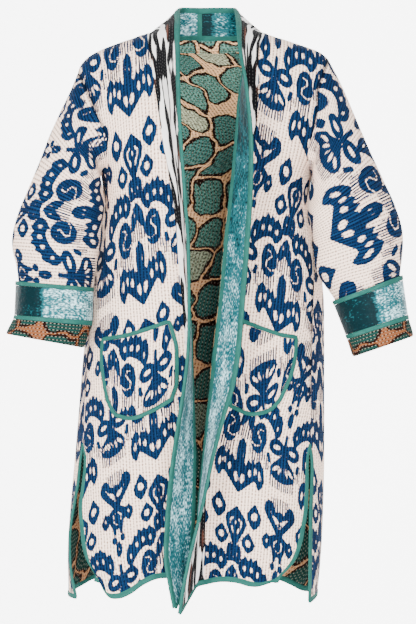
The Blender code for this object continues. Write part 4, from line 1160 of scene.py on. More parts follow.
def velvet_material() -> bpy.types.Material:
    """Crushed velvet: pile lying different ways shows dark, middle and painted-sheen pale patches.

    Returns:
        The finished material.
    """
    shader = Shader(Cloth.VELVET)
    own = shader.finish
    crush = shader.times_plus(shader.noise(48.0, 26.0, 1.0, 2.0), 0.7,
                              shader.times(shader.noise(360.0, 170.0, 2.0, 3.0), 1.3))
    # the tone attribute adds painted light and shade: whole stretches of facing, collar and cuff
    # run paler or darker
    level = shader.plus(crush, shader.attribute("tone"))
    colour = shader.blend(shader.step(level, 0.72, 1.02), own.dark, own.accent)
    colour = shader.blend(shader.step(level, 1.06, 1.48), colour, own.light)
    return shader.finished(colour, shader.noise(90.0, 70.0, 1.0, 4.0))


def binding_material() -> bpy.types.Material:
    """Plain teal cotton tape with a fine weave and a little pucker.

    Returns:
        The finished material.
    """
    shader = Shader(Cloth.BINDING)
    own = shader.finish
    weave = shader.noise(1700.0, 1700.0, 1.0, 1.0)
    wear = shader.noise(120.0, 60.0, 3.0, 3.0)
    colour = shader.blend(shader.step(wear, 0.35, 0.65), own.dark, own.light)
    colour = shader.blend(0.55, colour, own.light)
    colour = shader.blend(shader.times(shader.step(weave, 0.5, 0.7), 0.35), colour, own.accent)
    return shader.finished(colour, shader.plus(shader.noise(70.0, 150.0, 5.0),
                                               shader.times(weave, 0.25)))


def lining_material() -> bpy.types.Material:
    """Printed lining: rounded pebbles with dark outlines on tan, and running stitches.

    How far a point is inside a pebble is the lesser of its distance to the cell's edge and a
    radius less its distance to the cell's middle, both in cells.

    Returns:
        The finished material.
    """
    shader = Shader(Cloth.LINING)
    own = shader.finish
    bend = shader.times(shader.noise(18.0, 18.0, 2.0), 0.8)
    place = shader.node("ShaderNodeVectorMath", shader.scaled(18.5, 14.0), bend,
                        operation="ADD").outputs[0]
    cells = []
    for feature in ("F1", "DISTANCE_TO_EDGE"):
        cell = shader.node("ShaderNodeTexVoronoi", voronoi_dimensions="2D", feature=feature)
        for name, value in (("Vector", place), ("Randomness", 0.6), ("Scale", 1.0)):
            shader.put(cell.inputs[name], value)
        cells.append(cell.outputs)
    inside = shader.math("MINIMUM", cells[1]["Distance"],
                         shader.math("SUBTRACT", PEBBLE_RADIUS, cells[0]["Distance"]))
    inside = shader.times_plus(shader.noise(70.0, 70.0, 5.0), 0.06, inside)
    pick = shader.node("ShaderNodeSeparateColor", cells[0]["Color"]).outputs
    tone = shader.attribute("tone")
    pebble = shader.blend(shader.step(pick[0], 0.45, 0.55), own.accent, PEBBLE_GREEN)
    pebble = shader.blend(shader.step(pick[1], 0.86, 0.88), pebble, PEBBLE_PALE)
    pebble = shader.blend(shader.step(shader.noise(300.0, 300.0, 9.0), 0.36, 0.62, 0.75, 0.0),
                          pebble, own.dark)
    # painted shade: the tone attribute darkens the pebbles and the ground
    pebble = shader.blend(shader.times(tone, 0.75), pebble, PEBBLE_SHADE)
    ground = shader.blend(shader.times(tone, 0.55), own.light, GROUND_SHADE)
    ground = shader.blend(shader.step(shader.noise(180.0, 420.0, 3.0), 0.35, 0.65, 0.35, 0.0),
                          ground, GROUND_FLECK)
    pebble = shader.blend(shader.step(inside, 0.135, 0.15), own.dark, pebble)
    height, thread, relief = shader.quilting()
    colour = shader.shade_in_rows(shader.blend(shader.step(inside, 0.055, 0.07), ground, pebble),
                            height)
    colour = shader.blend(shader.times(thread, 0.30), colour, LINING_THREAD)
    return shader.finished(colour, relief)


SHARP_ANGLE = 55.0      # degrees between faces from which an edge is drawn sharp
PROFILE_POINTS = 16     # points round a binding's section


class Cloths:
    """The finished materials, one for each cloth."""

    def __init__(self) -> None:
        """Make every material once."""
        makers = {Cloth.IKAT: ikat_material, Cloth.STRIPE: stripe_material,
                  Cloth.VELVET: velvet_material, Cloth.BINDING: binding_material,
                  Cloth.LINING: lining_material}
        self.made = {cloth: maker() for cloth, maker in makers.items()}


def stations(points: Array, spacing: float, axis: int = 0) -> Array:
    """Positions that split each interval of a control grid into steps of about one size.

    Args:
        points: control grid, or a single line of it.
        spacing: greatest mean step in millimetres.
        axis: 0 for steps from row to row, 1 for steps from column to column.

    Returns:
        Rising positions, in whole numbers at the control points.
    """
    lengths = np.linalg.norm(np.diff(points, axis=axis), axis=-1)
    lengths = lengths.mean(axis=1 - axis) if points.ndim == 3 else lengths
    parts = [index + np.arange(count) / count
             for index, count in enumerate(np.maximum(np.ceil(lengths / spacing), 1).astype(int))]
    return np.concatenate(parts + [[len(lengths)]])


def refine(controls: Array, rows: Array, cols: Array) -> Array:
    """Smooth grid through a control grid at row and column positions."""
    return through(through(controls, rows).swapaxes(0, 1), cols).swapaxes(0, 1)


def finer(controls: Array, spacing: float) -> Array:
    """Smooth grid through a control grid with steps of about one size."""
    return refine(controls, stations(controls, spacing), stations(controls, spacing, 1))


def refine_ring(controls: Array, cols: int) -> Array:
    """Smooth closed rows through control rings, with an even count of columns.

    Args:
        controls: (rows, columns, 3) control rings.
        cols: how many columns to make.

    Returns:
        (rows, cols, 3) grid.
    """
    count = controls.shape[1]
    wrapped = np.concatenate((controls[:, -2:], controls, controls[:, :3]), axis=1)
    at = 2.0 + np.arange(cols) * count / cols
    return through(wrapped.swapaxes(0, 1), at).swapaxes(0, 1)


def flat_map(points: Array, closed: bool) -> Array:
    """Cloth map of a grid in metres: run length across (u) and along (v).

    Args:
        points: (rows, columns, 3) grid in millimetres.
        closed: whether a last column is added where the first comes round again.

    Returns:
        (rows, columns or columns + 1, 2) map; u is centred on each row's middle.
    """
    if closed:
        points = np.concatenate((points, points[:, :1]), axis=1)
    u = run_length(points, 1)
    v = run_length(points, 0)
    return np.stack((u, np.broadcast_to(v.mean(axis=1, keepdims=True), u.shape)), -1) * MM


def make_object(name: str, points: Array, quads: Array, corner_uv: Array,
                values: dict[str, Array], material: bpy.types.Material) -> bpy.types.Object:
    """Make a mesh object from whole arrays, with its faces turned outward.

    Args:
        name: object name.
        points: (n, 3) points in millimetres.
        quads: (m, 4) corner indices.
        corner_uv: (m, 4, 2) cloth map of each corner, in metres.
        values: per-point numbers by attribute name.
        material: the cloth.

    Returns:
        The object, at the origin.
    """
    co = points * MM
    corners = co[quads]
    cross = np.cross(corners[:, 2] - corners[:, 0], corners[:, 3] - corners[:, 1])
    if float(np.einsum("ij,ij->", corners.mean(axis=1) - co.mean(axis=0), cross)) < 0.0:
        quads, corner_uv = quads[:, ::-1], corner_uv[:, ::-1]
    mesh = bpy.data.meshes.new(name)
    mesh.vertices.add(len(co))
    mesh.vertices.foreach_set("co", co.ravel())
    mesh.loops.add(quads.size)
    mesh.loops.foreach_set("vertex_index", quads.ravel().astype(np.int32))
    mesh.polygons.add(len(quads))
    mesh.polygons.foreach_set("loop_start", np.arange(0, quads.size, 4, dtype=np.int32))
    mesh.update(calc_edges=True)
    layer = mesh.uv_layers.new(name="cloth")
    layer.data.foreach_set("uv", np.ascontiguousarray(corner_uv, dtype=np.float32).ravel())
    for label, numbers in values.items():
        item = mesh.attributes.new(label, "FLOAT", "POINT")
        item.data.foreach_set("value", np.ascontiguousarray(numbers, np.float32).ravel())
    mesh.materials.append(material)
    mesh.shade_smooth()
    mesh.set_sharp_from_angle(angle=math.radians(SHARP_ANGLE))
    made = bpy.data.objects.new(name + "_cloth", mesh)
    bpy.context.scene.collection.objects.link(made)
    return made


def strip_quads(grid: Array, flip: bool = False) -> Array:
    """Quads of a grid of indices.

    Args:
        grid: (rows, columns) indices, or numbers that stand for map corners.
        flip: whether to turn the quads over.

    Returns:
        (quads, 4) indices.
    """
    quads = np.stack((grid[:-1, :-1], grid[1:, :-1], grid[1:, 1:], grid[:-1, 1:]),
                     axis=-1).reshape(-1, 4)
    return quads[:, ::-1] if flip else quads


@dataclass
class Piece:
    """One cut-and-sewn piece: a closed surface on the frame, and what it stands for.

    Attributes:
        name: name of the piece and of the node it replaces.
        cloth: which cloth it is made of.
        node: node it replaces, if not its own name; empty for none.
        flat: width and length of its flat cloth in metres, once it is made.
    """

    name: str
    cloth: Cloth
    node: str | None = None
    flat: tuple[float, float] = (0.0, 0.0)

    def finish(self, made: bpy.types.Object) -> bpy.types.Object:
        """Make the piece ride the root and replace its node, then log it.

        Args:
            made: the piece's object.

        Returns:
            The same object.
        """
        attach(made, "root")
        node = self.name if self.node is None else self.node
        if node:
            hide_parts(node)
        LOG.info("%s: %s, %d faces", self.name, self.cloth.value, len(made.data.polygons))
        return made

    def wall(self, cloths: Cloths, points: Array, normals: Array, low: float, high: float,
             cloth_map: Array | None = None, values: dict[str, Array] | None = None,
             closed: bool = False) -> bpy.types.Object:
        """Closed sheet between two offsets of a grid.

        Each side is the grid moved along its normals; strips of quads join their edges.

        Args:
            cloths: the materials.
            points: (rows, columns, 3) grid in millimetres.
            normals: its unit normals.
            low: offset of the under side.
            high: offset of the upper side.
            cloth_map: (rows, columns, 2) map in metres, or None for run lengths.
            values: per-point attributes of the grid.
            closed: whether the columns go all the way round.

        Returns:
            The finished object.
        """
        rows, cols = points.shape[:2]
        uv = flat_map(points, closed) if cloth_map is None else cloth_map
        index = np.arange(rows * cols).reshape(rows, cols)
        place = np.arange(rows * uv.shape[1]).reshape(rows, uv.shape[1])
        if closed:
            index = np.concatenate((index, index[:, :1]), axis=1)
        count = rows * cols
        over, under = strip_quads(index), strip_quads(index + count, True)
        over_uv, under_uv = strip_quads(place), strip_quads(place, True)
        quads, spots = [over, under], [over_uv, under_uv]
        rims = [(index[0], place[0], False), (index[-1], place[-1], True)]
        if not closed:
            rims += [(index[:, 0], place[:, 0], True), (index[:, -1], place[:, -1], False)]
        for line, spot, flip in rims:
            quads.append(strip_quads(np.stack((line + count, line)), flip))
            spots.append(strip_quads(np.stack((spot, spot)), flip))
        both = np.concatenate(((points + normals * high).reshape(-1, 3),
                               (points + normals * low).reshape(-1, 3)))
        numbers = {label: np.tile(item.ravel(), 2) for label, item in (values or {}).items()}
        made = make_object(self.name, both, np.concatenate(quads),
                           uv.reshape(-1, 2)[np.concatenate(spots)], numbers,
                           cloths.made[self.cloth])
        self.flat = (float(run_length(points, 1)[:, -1].mean()) * MM,
                     float(run_length(points, 0)[-1].mean()) * MM)
        return self.finish(made)

    def sweep(self, cloths: Cloths, sections: Array, ring: bool = False,
              tone: Array | float = 0.5) -> bpy.types.Object:
        """Closed solid through rounded sections: quads between them, and joined ends.

        Args:
            cloths: the materials.
            sections: (rows, points, 3) closed sections in millimetres; an even point count.
            ring: whether the last section joins the first.
            tone: the piece's tone attribute, one for all or one for each section.

        Returns:
            The finished object.
        """
        rows, cols = sections.shape[:2]
        index = np.arange(rows * cols).reshape(rows, cols)
        wrapped = np.concatenate((sections, sections[:, :1]), axis=1)
        if ring:
            wrapped = np.concatenate((wrapped, wrapped[:1]))
            index = np.concatenate((index, index[:1]))
        index = np.concatenate((index, index[:, :1]), axis=1)
        uv = np.stack((run_length(wrapped, 1), run_length(wrapped, 0)), axis=-1) * MM
        place = np.arange(uv[..., 0].size).reshape(uv.shape[:2])
        quads, spots = [strip_quads(index)], [strip_quads(place)]
        if not ring:
            half = cols // 2
            for end, flip in ((0, True), (rows - 1, False)):
                for grid, parts in ((index, quads), (place, spots)):
                    lid = np.stack((grid[end, :half], grid[end, cols - 1:half - 1:-1]))
                    parts.append(strip_quads(lid, flip))
        made = make_object(self.name, sections.reshape(-1, 3), np.concatenate(quads),
                           uv.reshape(-1, 2)[np.concatenate(spots)],
                           {"tone": np.repeat(np.broadcast_to(tone, rows), cols)},
                           cloths.made[self.cloth])
        return self.finish(made)


def rounded_profile(start: Array, width: Array, low: Array, high: Array) -> Array:
    """Section of a folded binding: a box with well-rounded corners, as a superellipse.

    Args:
        start: where it begins, out from the edge, one for each section.
        width: where it ends.
        low: height of its under side.
        high: height of its upper side.

    Returns:
        (sections, PROFILE_POINTS, 2) pairs of distance out of the edge and height.
    """
    turn = (np.linspace(0.0, 2.0 * math.pi, PROFILE_POINTS, endpoint=False)
            + math.pi / PROFILE_POINTS)
    flat = np.sign(np.cos(turn)) * np.abs(np.cos(turn)) ** 0.55
    tall = np.sign(np.sin(turn)) * np.abs(np.sin(turn)) ** 0.75
    start, width, low, high = (np.atleast_1d(np.asarray(item, float))[:, None]
                               for item in (start, width, low, high))
    return np.stack(np.broadcast_arrays((start + width) / 2.0 + (width - start) / 2.0 * flat,
                                        (low + high) / 2.0 + (high - low) / 2.0 * tall), -1)


def place_profile(points: Array, normals: Array, outward: Array, profile: Array) -> Array:
    """Sections of a binding along a path, each set square to it.

    Args:
        points: (n, 3) path.
        normals: unit normals of the cloth.
        outward: unit directions out of the cloth's edge.
        profile: (n or 1, k, 2) sections.

    Returns:
        (n, k, 3) points.
    """
    return (points[:, None] + outward[:, None] * profile[..., :1]
            + normals[:, None] * profile[..., 1:])


def along_noise(run: Array, length: float, seed: int) -> Array:
    """Smooth seeded noise from about -1 to 1 along a path.

    Args:
        run: run length along the path.
        length: typical wave length.
        seed: seed of its five sine waves.

    Returns:
        The noise at each point.
    """
    rng = np.random.default_rng(seed)
    return sum(np.sin(run * 2.0 * math.pi / (length * rng.uniform(0.6, 1.8))
                      + rng.uniform(0.0, 6.3)) for _ in range(5)) / 3.0


UNIT = 1.8              # millimetres of cloth to a pattern unit
WINGS = (COLUMN, -114.5)        # pattern position, across and up, of a pair of wings
BEHIND = 1e6            # keeps points behind a piece's middle from being the nearest
BACK_CROWN = -150.0     # height of a crown on the back
BACK_SLANT = 0.15       # how far the back's rows fall away from its middle column
POCKET_SLANT = 0.2
CORNER_STEPS = 5        # sections of a binding round a corner
CUFF_COLUMNS = 112
POCKET_STEPS = 60
POCKET_HEIGHTS = (1.9, 3.7)     # of the pocket's two sides over the front's middle
POCKET_BINDING = 8.0
BAND_COLUMNS = (0, 1, 2, 3, 4, 6, 7, 8, 9)      # control columns of the striped band
TAPE_COLUMNS = (5, 7, 8, 9)     # and of the facing, where the collar tape crosses it
TAPE_REACH = 4.5        # how far the collar tape reaches to each side of the joint
EDGE_LAP = 1.6          # how far the edge binding reaches in over the band
HEM_LAP = 3.0           # and the hem binding over the cloth
HEM_SPACING = 4.0
BAND_SPACING = 5.0
BACK_SPACING = 4.2
SLEEVE_LINING_SPACING = 7.0
SEAM_SHADE = 12.0       # width of the shade along a front's side seam
ARMHOLE_SHADE = 8.0     # and along a sleeve's top
LEAN_HEIGHTS = np.arange(-450.0, -200.0, 10.0)  # where a sleeve hangs against the body
LEAN_REACH = 20.0       # farthest that it is moved
LEAN_GAP = 0.8          # gap that is left

WEAVE_AXES = sided("z x slant", (
    (60, -150, 0.44), (-126, -139.3, 0.44), (-464.4, -113.4, 0.5), (-743.4, -91, 0.5),
    (-1026, -70.2, 0.45),
), (
    (60, 212, 0.55), (-27, 207, 0.55), (-207, 180, 0.55), (-271.8, 160.2, 0.52),
    (-363.6, 142.2, 0.5), (-504, 126, 0.48), (-736.2, 61.2, 0.42), (-853.2, 52.2, 0.4),
    (-999, 41.4, 0.4),
))
CROWNS = sided("z number", (
    (-1310, -1), (-1026, 0), (-743.4, 1), (-464.4, 2), (-126, 3), (212, 4),
), (
    (-1373, -1), (-1087, 0), (-801, 1), (-514.8, 2), (-207, 3), (101, 4),
))
# Wings on each pocket: x and z of one pair, and which way the pattern's up lies.
POCKET_WINGS = {Side.RIGHT: (-91.8, -581.4, 1.0), Side.LEFT: (99.0, -639.0, -1.0)}
# Section of a cuff's turned end: fraction up the cuff, and height over its outer side.
CUFF_TURN = ((0.288, -2.6), (0.288, 0.0), (0.15, 0.3), (0.05, 0.3), (0.012, -0.8),
             (-0.006, -3.6), (-0.006, -7.4), (0.016, -7.5), (0.016, -4.8), (0.04, -2.6),
             (0.15, -2.6))
# Rings over a cuff: name, first and last fraction, least and greatest height, cloth.
CUFF_PARTS = (("cuff_lower_binding", 0.292, 0.368, -3.1, 0.9, Cloth.BINDING),
              ("cuff_velvet", 0.371, 0.918, -2.6, 0.0, Cloth.VELVET),
              ("cuff_upper_binding", 0.921, 1.0, -3.1, 0.9, Cloth.BINDING))


def nearest_spot(points: Array, x: float, z: float) -> tuple[int, int]:
    """Row and column of a grid's point nearest a place in the front view.

    Args:
        points: the grid.
        x: place across.
        z: its height.

    Returns:
        Row and column.
    """
    away = (points[..., 0] - x) ** 2 + (points[..., 2] - z) ** 2
    away = away + np.where(points[..., 1] > points[..., 1].mean(), BEHIND, 0.0)
    return np.unravel_index(np.argmin(away), away.shape)


def warp_map(points: Array, across: Array) -> Array:
    """Cloth map in metres of a grid whose pattern position across is known."""
    along = run_length(points, 0).mean(axis=1, keepdims=True) * MM
    return np.stack((across * UNIT * MM, np.broadcast_to(along, across.shape)), axis=-1)


def front_weave(side: Side, points: Array) -> tuple[Array, Array]:
    """Pattern position of each point of a front grid.

    Across is the run length along the row from where it meets the crown column, positive
    toward the front edge. Up is the crown number at the height less the slant times across.

    Args:
        side: which front.
        points: (rows, columns, 3) grid from the side to the front edge.

    Returns:
        Across and up, in pattern units.
    """
    run = run_length(points, 1)
    x = points[..., 0]
    heights = points[..., 2].mean(axis=1)
    axis = WEAVE_AXES[side].read("z", "x", heights)
    toward = np.sign(x[:, -1] - x[:, 0])
    start = np.array([np.interp(at * sign, row * sign, length) for at, sign, row, length
                      in zip(axis, toward, x, run)])
    across = run - start[:, None]
    flat = toward[:, None] * (x - axis[:, None])
    across = np.where(across > 0.0, np.minimum(across, np.maximum(flat, 0.0)), across)
    slant = WEAVE_AXES[side].read("z", "slant", heights)[:, None]
    level = np.interp(points[..., 2] - slant * across, CROWNS[side].column("z"),
                      CROWNS[side].column("number"))
    return across / UNIT, level * PERIOD


@dataclass(frozen=True)
class SleeveWeave:
    """Where the dyed pattern lies on a sleeve, whose warp goes round the arm.

    Attributes:
        x: place of one pair of wings across the front view.
        z: its height.
        turn: degrees the columns turn away from the sleeve's length.
        stretch: how much the pattern is stretched along the sleeve and round it.
    """

    x: float
    z: float
    turn: float
    stretch: tuple[float, float]

    def place(self, points: Array, around: Array) -> tuple[Array, Array]:
        """Pattern position of each point of a sleeve's rings.

        Along is measured straight down the sleeve in the front view, and round is the run
        length round the ring from the wings' place, both turned by the given angle.

        Args:
            points: rings of the sleeve.
            around: run length round each ring.

        Returns:
            Across and up, in pattern units.
        """
        axis = unit((points[-1].mean(axis=0) - points[0].mean(axis=0))[[0, 2]])
        long = (points[..., 0] - self.x) * axis[0] + (points[..., 2] - self.z) * axis[1]
        row, col = nearest_spot(points, self.x, self.z)
        girth = np.ptp(around, axis=1, keepdims=True)
        round_ = around - around[row, col] / girth[row] * girth
        turn = math.radians(self.turn)
        across = long * math.cos(turn) + round_ * math.sin(turn)
        up = long * math.sin(turn) - round_ * math.cos(turn)
        return (WINGS[0] + across / UNIT / self.stretch[0],
                WINGS[1] + up / UNIT / self.stretch[1])


SLEEVE_WEAVES = {Side.RIGHT: SleeveWeave(-234.0, -189.0, 8.5, (1.4, 0.78)),
                 Side.LEFT: SleeveWeave(244.0, -170.0, -17.0, (1.65, 1.1))}


class Body:
    """Control grids of the robe, shared by every piece."""

    def __init__(self) -> None:
        """Work out the fronts with their bands, the back and the sleeves."""
        self.front = {side: half.front_grid() for side, half in HALVES.items()}
        self.band = {side: half.band_grid(self.front[side]) for side, half in HALVES.items()}
        self.whole = {side: np.concatenate((self.front[side][:, :-1], self.band[side][
            :len(self.front[side]), :FACING_COLUMN]), axis=1) for side in Side}
        halves = [HALVES[side].back_half() for side in Side]
        self.back = np.concatenate((halves[0], halves[1][:, -2::-1]), axis=1)

    def back_column(self, side: Side) -> int:
        """Column of the back at one side."""
        return self.back.shape[1] - 1 if side is Side.LEFT else 0

    def sleeve(self, side: Side) -> Array:
        """Control rings of a sleeve, from the armhole down to just inside the cuff.

        Args:
            side: which sleeve.

        Returns:
            (rings, columns, 3) points.
        """
        front, col = self.front[side], self.back_column(side)
        loop = np.concatenate((front[UNDERARM_ROW:, 0][::-1],
                               self.back[UNDERARM_ROW + 1:-1, col]))
        angles = np.linspace(0.0, 2.0 * math.pi, len(loop), endpoint=False)
        table = SLEEVES[side]
        rings = [loop]
        lean = SLEEVE_LEAN * np.sin(np.linspace(0.25, math.pi, len(table.rows)))
        for row, swing in zip(table.rows, lean):
            ring = tube_ring(np.array(row), angles)
            ring[:, 1] -= swing * (1.0 - np.cos(angles)) / 2.0
            rings.append(ring)
        rings += [tube_ring(cuff_row(CUFFS[side], part), angles, CUFF_DEPTH)
                  for part in SLEEVE_ENDS]
        return np.array(rings)

    def sleeve_grid(self, side: Side, spacing: float) -> Array:
        """Fine grid of a sleeve whose first ring lies exactly on the armhole.

        Args:
            side: which sleeve.
            spacing: its spacing in millimetres.

        Returns:
            (rings, columns, 3) points.
        """
        controls = self.sleeve(side)
        girth = float(np.linalg.norm(np.diff(controls[3], axis=0), axis=1).sum())
        cols = int(girth / spacing)
        rows = stations(controls, spacing)
        grid = through(refine_ring(controls, cols), rows)
        at = np.arange(cols) * controls.shape[1] / cols
        turn = len(self.front[side]) - 1 - UNDERARM_ROW
        front = through(self.front[side], np.clip(len(self.front[side]) - 1.0 - at, 0, None))
        back = through(self.back, np.clip(UNDERARM_ROW + at - turn, 0, len(self.back) - 1.0))
        exact = np.where((at <= turn)[:, None], front[:, 0], back[:, self.back_column(side)])
        fade = np.clip(1.0 - rows / 1.5, 0.0, 1.0) ** 2
        grid = grid + fade[:, None, None] * (exact - grid[0])[None]
        grid[..., 0] += self.lean_in(side, grid, fade < 0.2) * (1.0 - fade[:, None] ** 3)
        return grid

    def lean_in(self, side: Side, grid: Array, free: Array) -> Array:
        """How far a sleeve's inner side moves sideways to hang against the body.

        At each height the move is the least gap between the sleeve and the front's side seam,
        less a little; it fades out toward the sleeve's middle and toward the cuff.

        Args:
            side: which sleeve.
            grid: its rings.
            free: which rings hang free of the armhole.

        Returns:
            Sideways move of each point.
        """
        seam = self.front[side][:, 0]
        order = np.argsort(seam[:, 2])
        z = grid[..., 2]
        gap = side.value * (grid[..., 0] - np.interp(z, seam[order, 2], seam[order, 0]))
        least = np.array([gap[free][np.abs(z[free] - height) < 8.0].min(initial=LEAN_REACH)
                          for height in LEAN_HEIGHTS])
        least = (np.clip(least - LEAN_GAP, 0.0, LEAN_REACH)
                 * np.clip((LEAN_HEIGHTS + 440.0) / 40.0, 0.0, 1.0))
        least = np.convolve(np.pad(least, 1, mode="edge"), (0.25, 0.5, 0.25), mode="valid")
        middle = grid[..., 0].mean(axis=1, keepdims=True)
        half = np.abs(grid[..., 0] - middle).max(axis=1, keepdims=True)
        share = np.clip(-side.value * (grid[..., 0] - middle) / half, 0.0, 1.0)
        return -side.value * share * (2.0 - share) * np.interp(z, LEAN_HEIGHTS, least)


class Robe:
    """Builds every piece of the robe over its frame.

    Attributes:
        cloths: the materials.
        body: the control grids.
        made: each piece's object by name.
        sheets: each cloth panel with its flat size.
    """

    def __init__(self, cloths: Cloths, body: Body) -> None:
        """Start with no pieces.

        Args:
            cloths: the materials.
            body: the control grids.
        """
        self.cloths, self.body = cloths, body
        self.made: dict[str, bpy.types.Object] = {}
        self.sheets: dict[str, tuple[float, float]] = {}

    def add_wall(self, piece: Piece, points: Array, normals: Array,
                 heights: tuple[float, float],
                 **more: Array | dict[str, Array] | bool) -> None:
        """Add a wall piece and note its flat size.

        Args:
            piece: the piece.
            points: its grid in millimetres.
            normals: the grid's unit normals.
            heights: offsets of its under and its upper side.
            more: cloth map, per-point values and closing, as Piece.wall takes them.
        """
        self.made[piece.name] = piece.wall(self.cloths, points, normals, *heights, **more)
        if piece.cloth is not Cloth.BINDING:
            self.sheets[piece.name] = piece.flat

    def add_lining(self, name: str, points: Array, normals: Array, tone: Array | float,
                   low: float = INNER[0], closed: bool = False) -> None:
        """Add a printed lining, which replaces no node.

        Args:
            name: its name.
            points: its grid in millimetres.
            normals: the grid's unit normals.
            tone: how shaded its print is.
            low: offset of its under side.
            closed: whether its columns go all the way round.
        """
        self.add_wall(Piece(name, Cloth.LINING, ""), points, normals, (low, INNER[1]),
                      values={"tone": np.broadcast_to(tone, points.shape[:2])}, closed=closed)

    def add_sweep(self, name: str, sections: Array, cloth: Cloth = Cloth.BINDING,
                  ring: bool = False, tone: Array | float = 0.5) -> None:
        """Add a swept piece.

        Args:
            name: its name.
            sections: (rows, points, 3) closed sections in millimetres.
            cloth: which cloth it is made of.
            ring: whether its last section joins the first.
            tone: its tone attribute.
        """
        self.made[name] = Piece(name, cloth).sweep(self.cloths, sections, ring, tone)

    def add_front(self, side: Side) -> None:
        """Front panel and its lining, from the side seam to the rolled corner.

        Args:
            side: which side.
        """
        controls = self.body.whole[side]
        points = finer(controls, FINE)
        across, up = front_weave(side, points)
        # painted shadow along the side seam above the slits, where the sleeve hangs over the body
        seam = np.clip(1.0 - run_length(points, 1) / SEAM_SHADE, 0.0, 1.0) * 0.8
        seam *= np.clip(stations(controls, FINE) - SLIT_ROW - 1.0, 0.0, 1.0)[:, None]
        self.add_wall(Piece(f"front_{side.word}", Cloth.IKAT), points,
                      grid_normals(points, side.value), OUTER,
                      cloth_map=warp_map(points, across),
                      values={"dye": dye_depth(across, up), "painted_seam_shadow": seam})
        points = finer(controls, COARSE)
        # painted shade: the front's lining darkens toward the hem, deeper inside the robe
        tone = np.clip((-200.0 - points[..., 2]) / 700.0, 0.0, 0.8)
        self.add_lining(f"front_lining_{side.word}", points, grid_normals(points, side.value),
                        tone)

    def add_back(self) -> None:
        """Back panel and its lining, from side to side and up to the collar."""
        controls = self.body.back
        points = finer(controls, BACK_SPACING)
        run = run_length(points, 1)
        across = (run - run[:, run.shape[1] // 2, None]) / UNIT
        up = (points[..., 2] - BACK_CROWN) / UNIT - BACK_SLANT * np.abs(across)
        self.add_wall(Piece("back", Cloth.IKAT), points, grid_normals(points, 1.0), OUTER,
                      cloth_map=warp_map(points, across),
                      values={"dye": dye_depth(across, up)})
        points = finer(controls, COARSE)
        # painted shade: the back's lining darkens toward the hem, deeper inside the robe
        tone = np.interp(points[..., 2], (-1000.0, -800.0, -600.0, -350.0, -150.0),
                         (1.33, 1.25, 1.0, 0.6, 0.0))
        self.add_lining("back_lining", points, grid_normals(points, 1.0), tone)

    def add_band(self, side: Side) -> None:
        """Striped band, velvet facing, and the bindings along the facing's two edges.

        Args:
            side: which side.
        """
        controls = self.body.band[side]
        rows = stations(controls, BAND_SPACING)
        half, sign = CLOTH / 2.0, side.value
        for name, cloth, columns, spacing, heights in (
                ("band", Cloth.STRIPE, BAND_COLUMNS, BAND_SPACING,
                 (half + GAP, half + GAP + TRIM)),
                ("facing", Cloth.VELVET, (5, 6, 7, 8, 9), 4.0, (-half, half)),
                ("facing_binding", Cloth.BINDING, (5, 6), 2.4,
                 (-half - GAP - TRIM, -half - GAP))):
            chosen = controls[:, columns]
            points = refine(chosen, rows, stations(chosen, spacing, 1))
            self.add_wall(Piece(f"{name}_{side.word}", cloth), points,
                          grid_normals(points, sign), heights,
                          values={"tone": self.velvet_light_and_shade(side, points)})
        neck = controls[len(self.body.front[side]) - 2:, (0, 1, 2, 3, 5)]
        neck[-1] += 1.2 * unit(neck[-1] - neck[-2])
        neck[:, 0] += 2.0 * unit(neck[:, 0] - neck[:, 1])
        points = finer(neck, COARSE)
        self.add_lining(f"collar_lining_{side.word}", points, grid_normals(points, sign), 0.0,
                        low=-half + 0.2)
        fine = through(controls[:, (8, 9, 10, 12)], stations(controls, FINE))
        out = fine[:, 3] - fine[:, 2]
        swell = 0.35 * along_noise(run_length(fine[:, 2], 0), 9.0, 11 + sign)
        profile = rounded_profile(-EDGE_LAP, np.linalg.norm(out, axis=1),
                                  -half - BINDING_RISE - swell,
                                  half + GAP + TRIM + BINDING_RISE + swell)
        self.add_sweep(f"edge_binding_{side.word}",
                       place_profile(fine[:, 2], grid_normals(fine, sign)[:, 1], unit(out),
                                     profile))

    @staticmethod
    def velvet_light_and_shade(side: Side, points: Array) -> Array:
        """Painted light and shade on the crushed pile: pale on the right, dark above on the left.

        In the collar it goes from painted shade beside the middle joint to pale.

        Args:
            side: which facing.
            points: its grid.

        Returns:
            What is added to the level of the pile, at each point.
        """
        x, z = points[..., 0], points[..., 2]
        if side is Side.RIGHT:
            return 0.10 + 0.05 * np.sin(z / 70.0)
        collar = np.clip((z + 5.0) / 15.0, 0.0, 1.0)
        below = np.interp(z, (-900.0, -700.0, -420.0, -250.0, -150.0),
                          (0.20, 0.16, 0.07, -0.08, -0.18))
        return below + collar * (np.interp(x, (6.0, 16.0, 32.0, 44.0),
                                           (-0.34, 0.12, 0.08, -0.16)) - below)

    def add_collar_tape(self) -> None:
        """Tape over the joint of the two facings inside the collar."""
        ends = [self.body.band[side][-1, TAPE_COLUMNS] for side in Side]
        nears = [self.body.band[side][-2, TAPE_COLUMNS] for side in Side]
        shares = [TAPE_REACH / np.linalg.norm(near - end, axis=1, keepdims=True)
                  for near, end in zip(nears, ends)]
        left, right = (end + (near - end) * share
                       for near, end, share in zip(nears, ends, shares))
        controls = np.stack((right, (ends[0] + ends[1]) / 2.0, left)).swapaxes(0, 1)
        points = refine(controls, stations(controls, 2.5), np.linspace(0.0, 2.0, 7))
        normals = grid_normals(points, 1.0)
        normals *= np.sign(normals[..., 1].mean())
        low = -CLOTH / 2.0 - 1.5 * GAP - TRIM
        self.add_wall(Piece("collar_tape", Cloth.BINDING), points, normals, (low, low + TRIM))

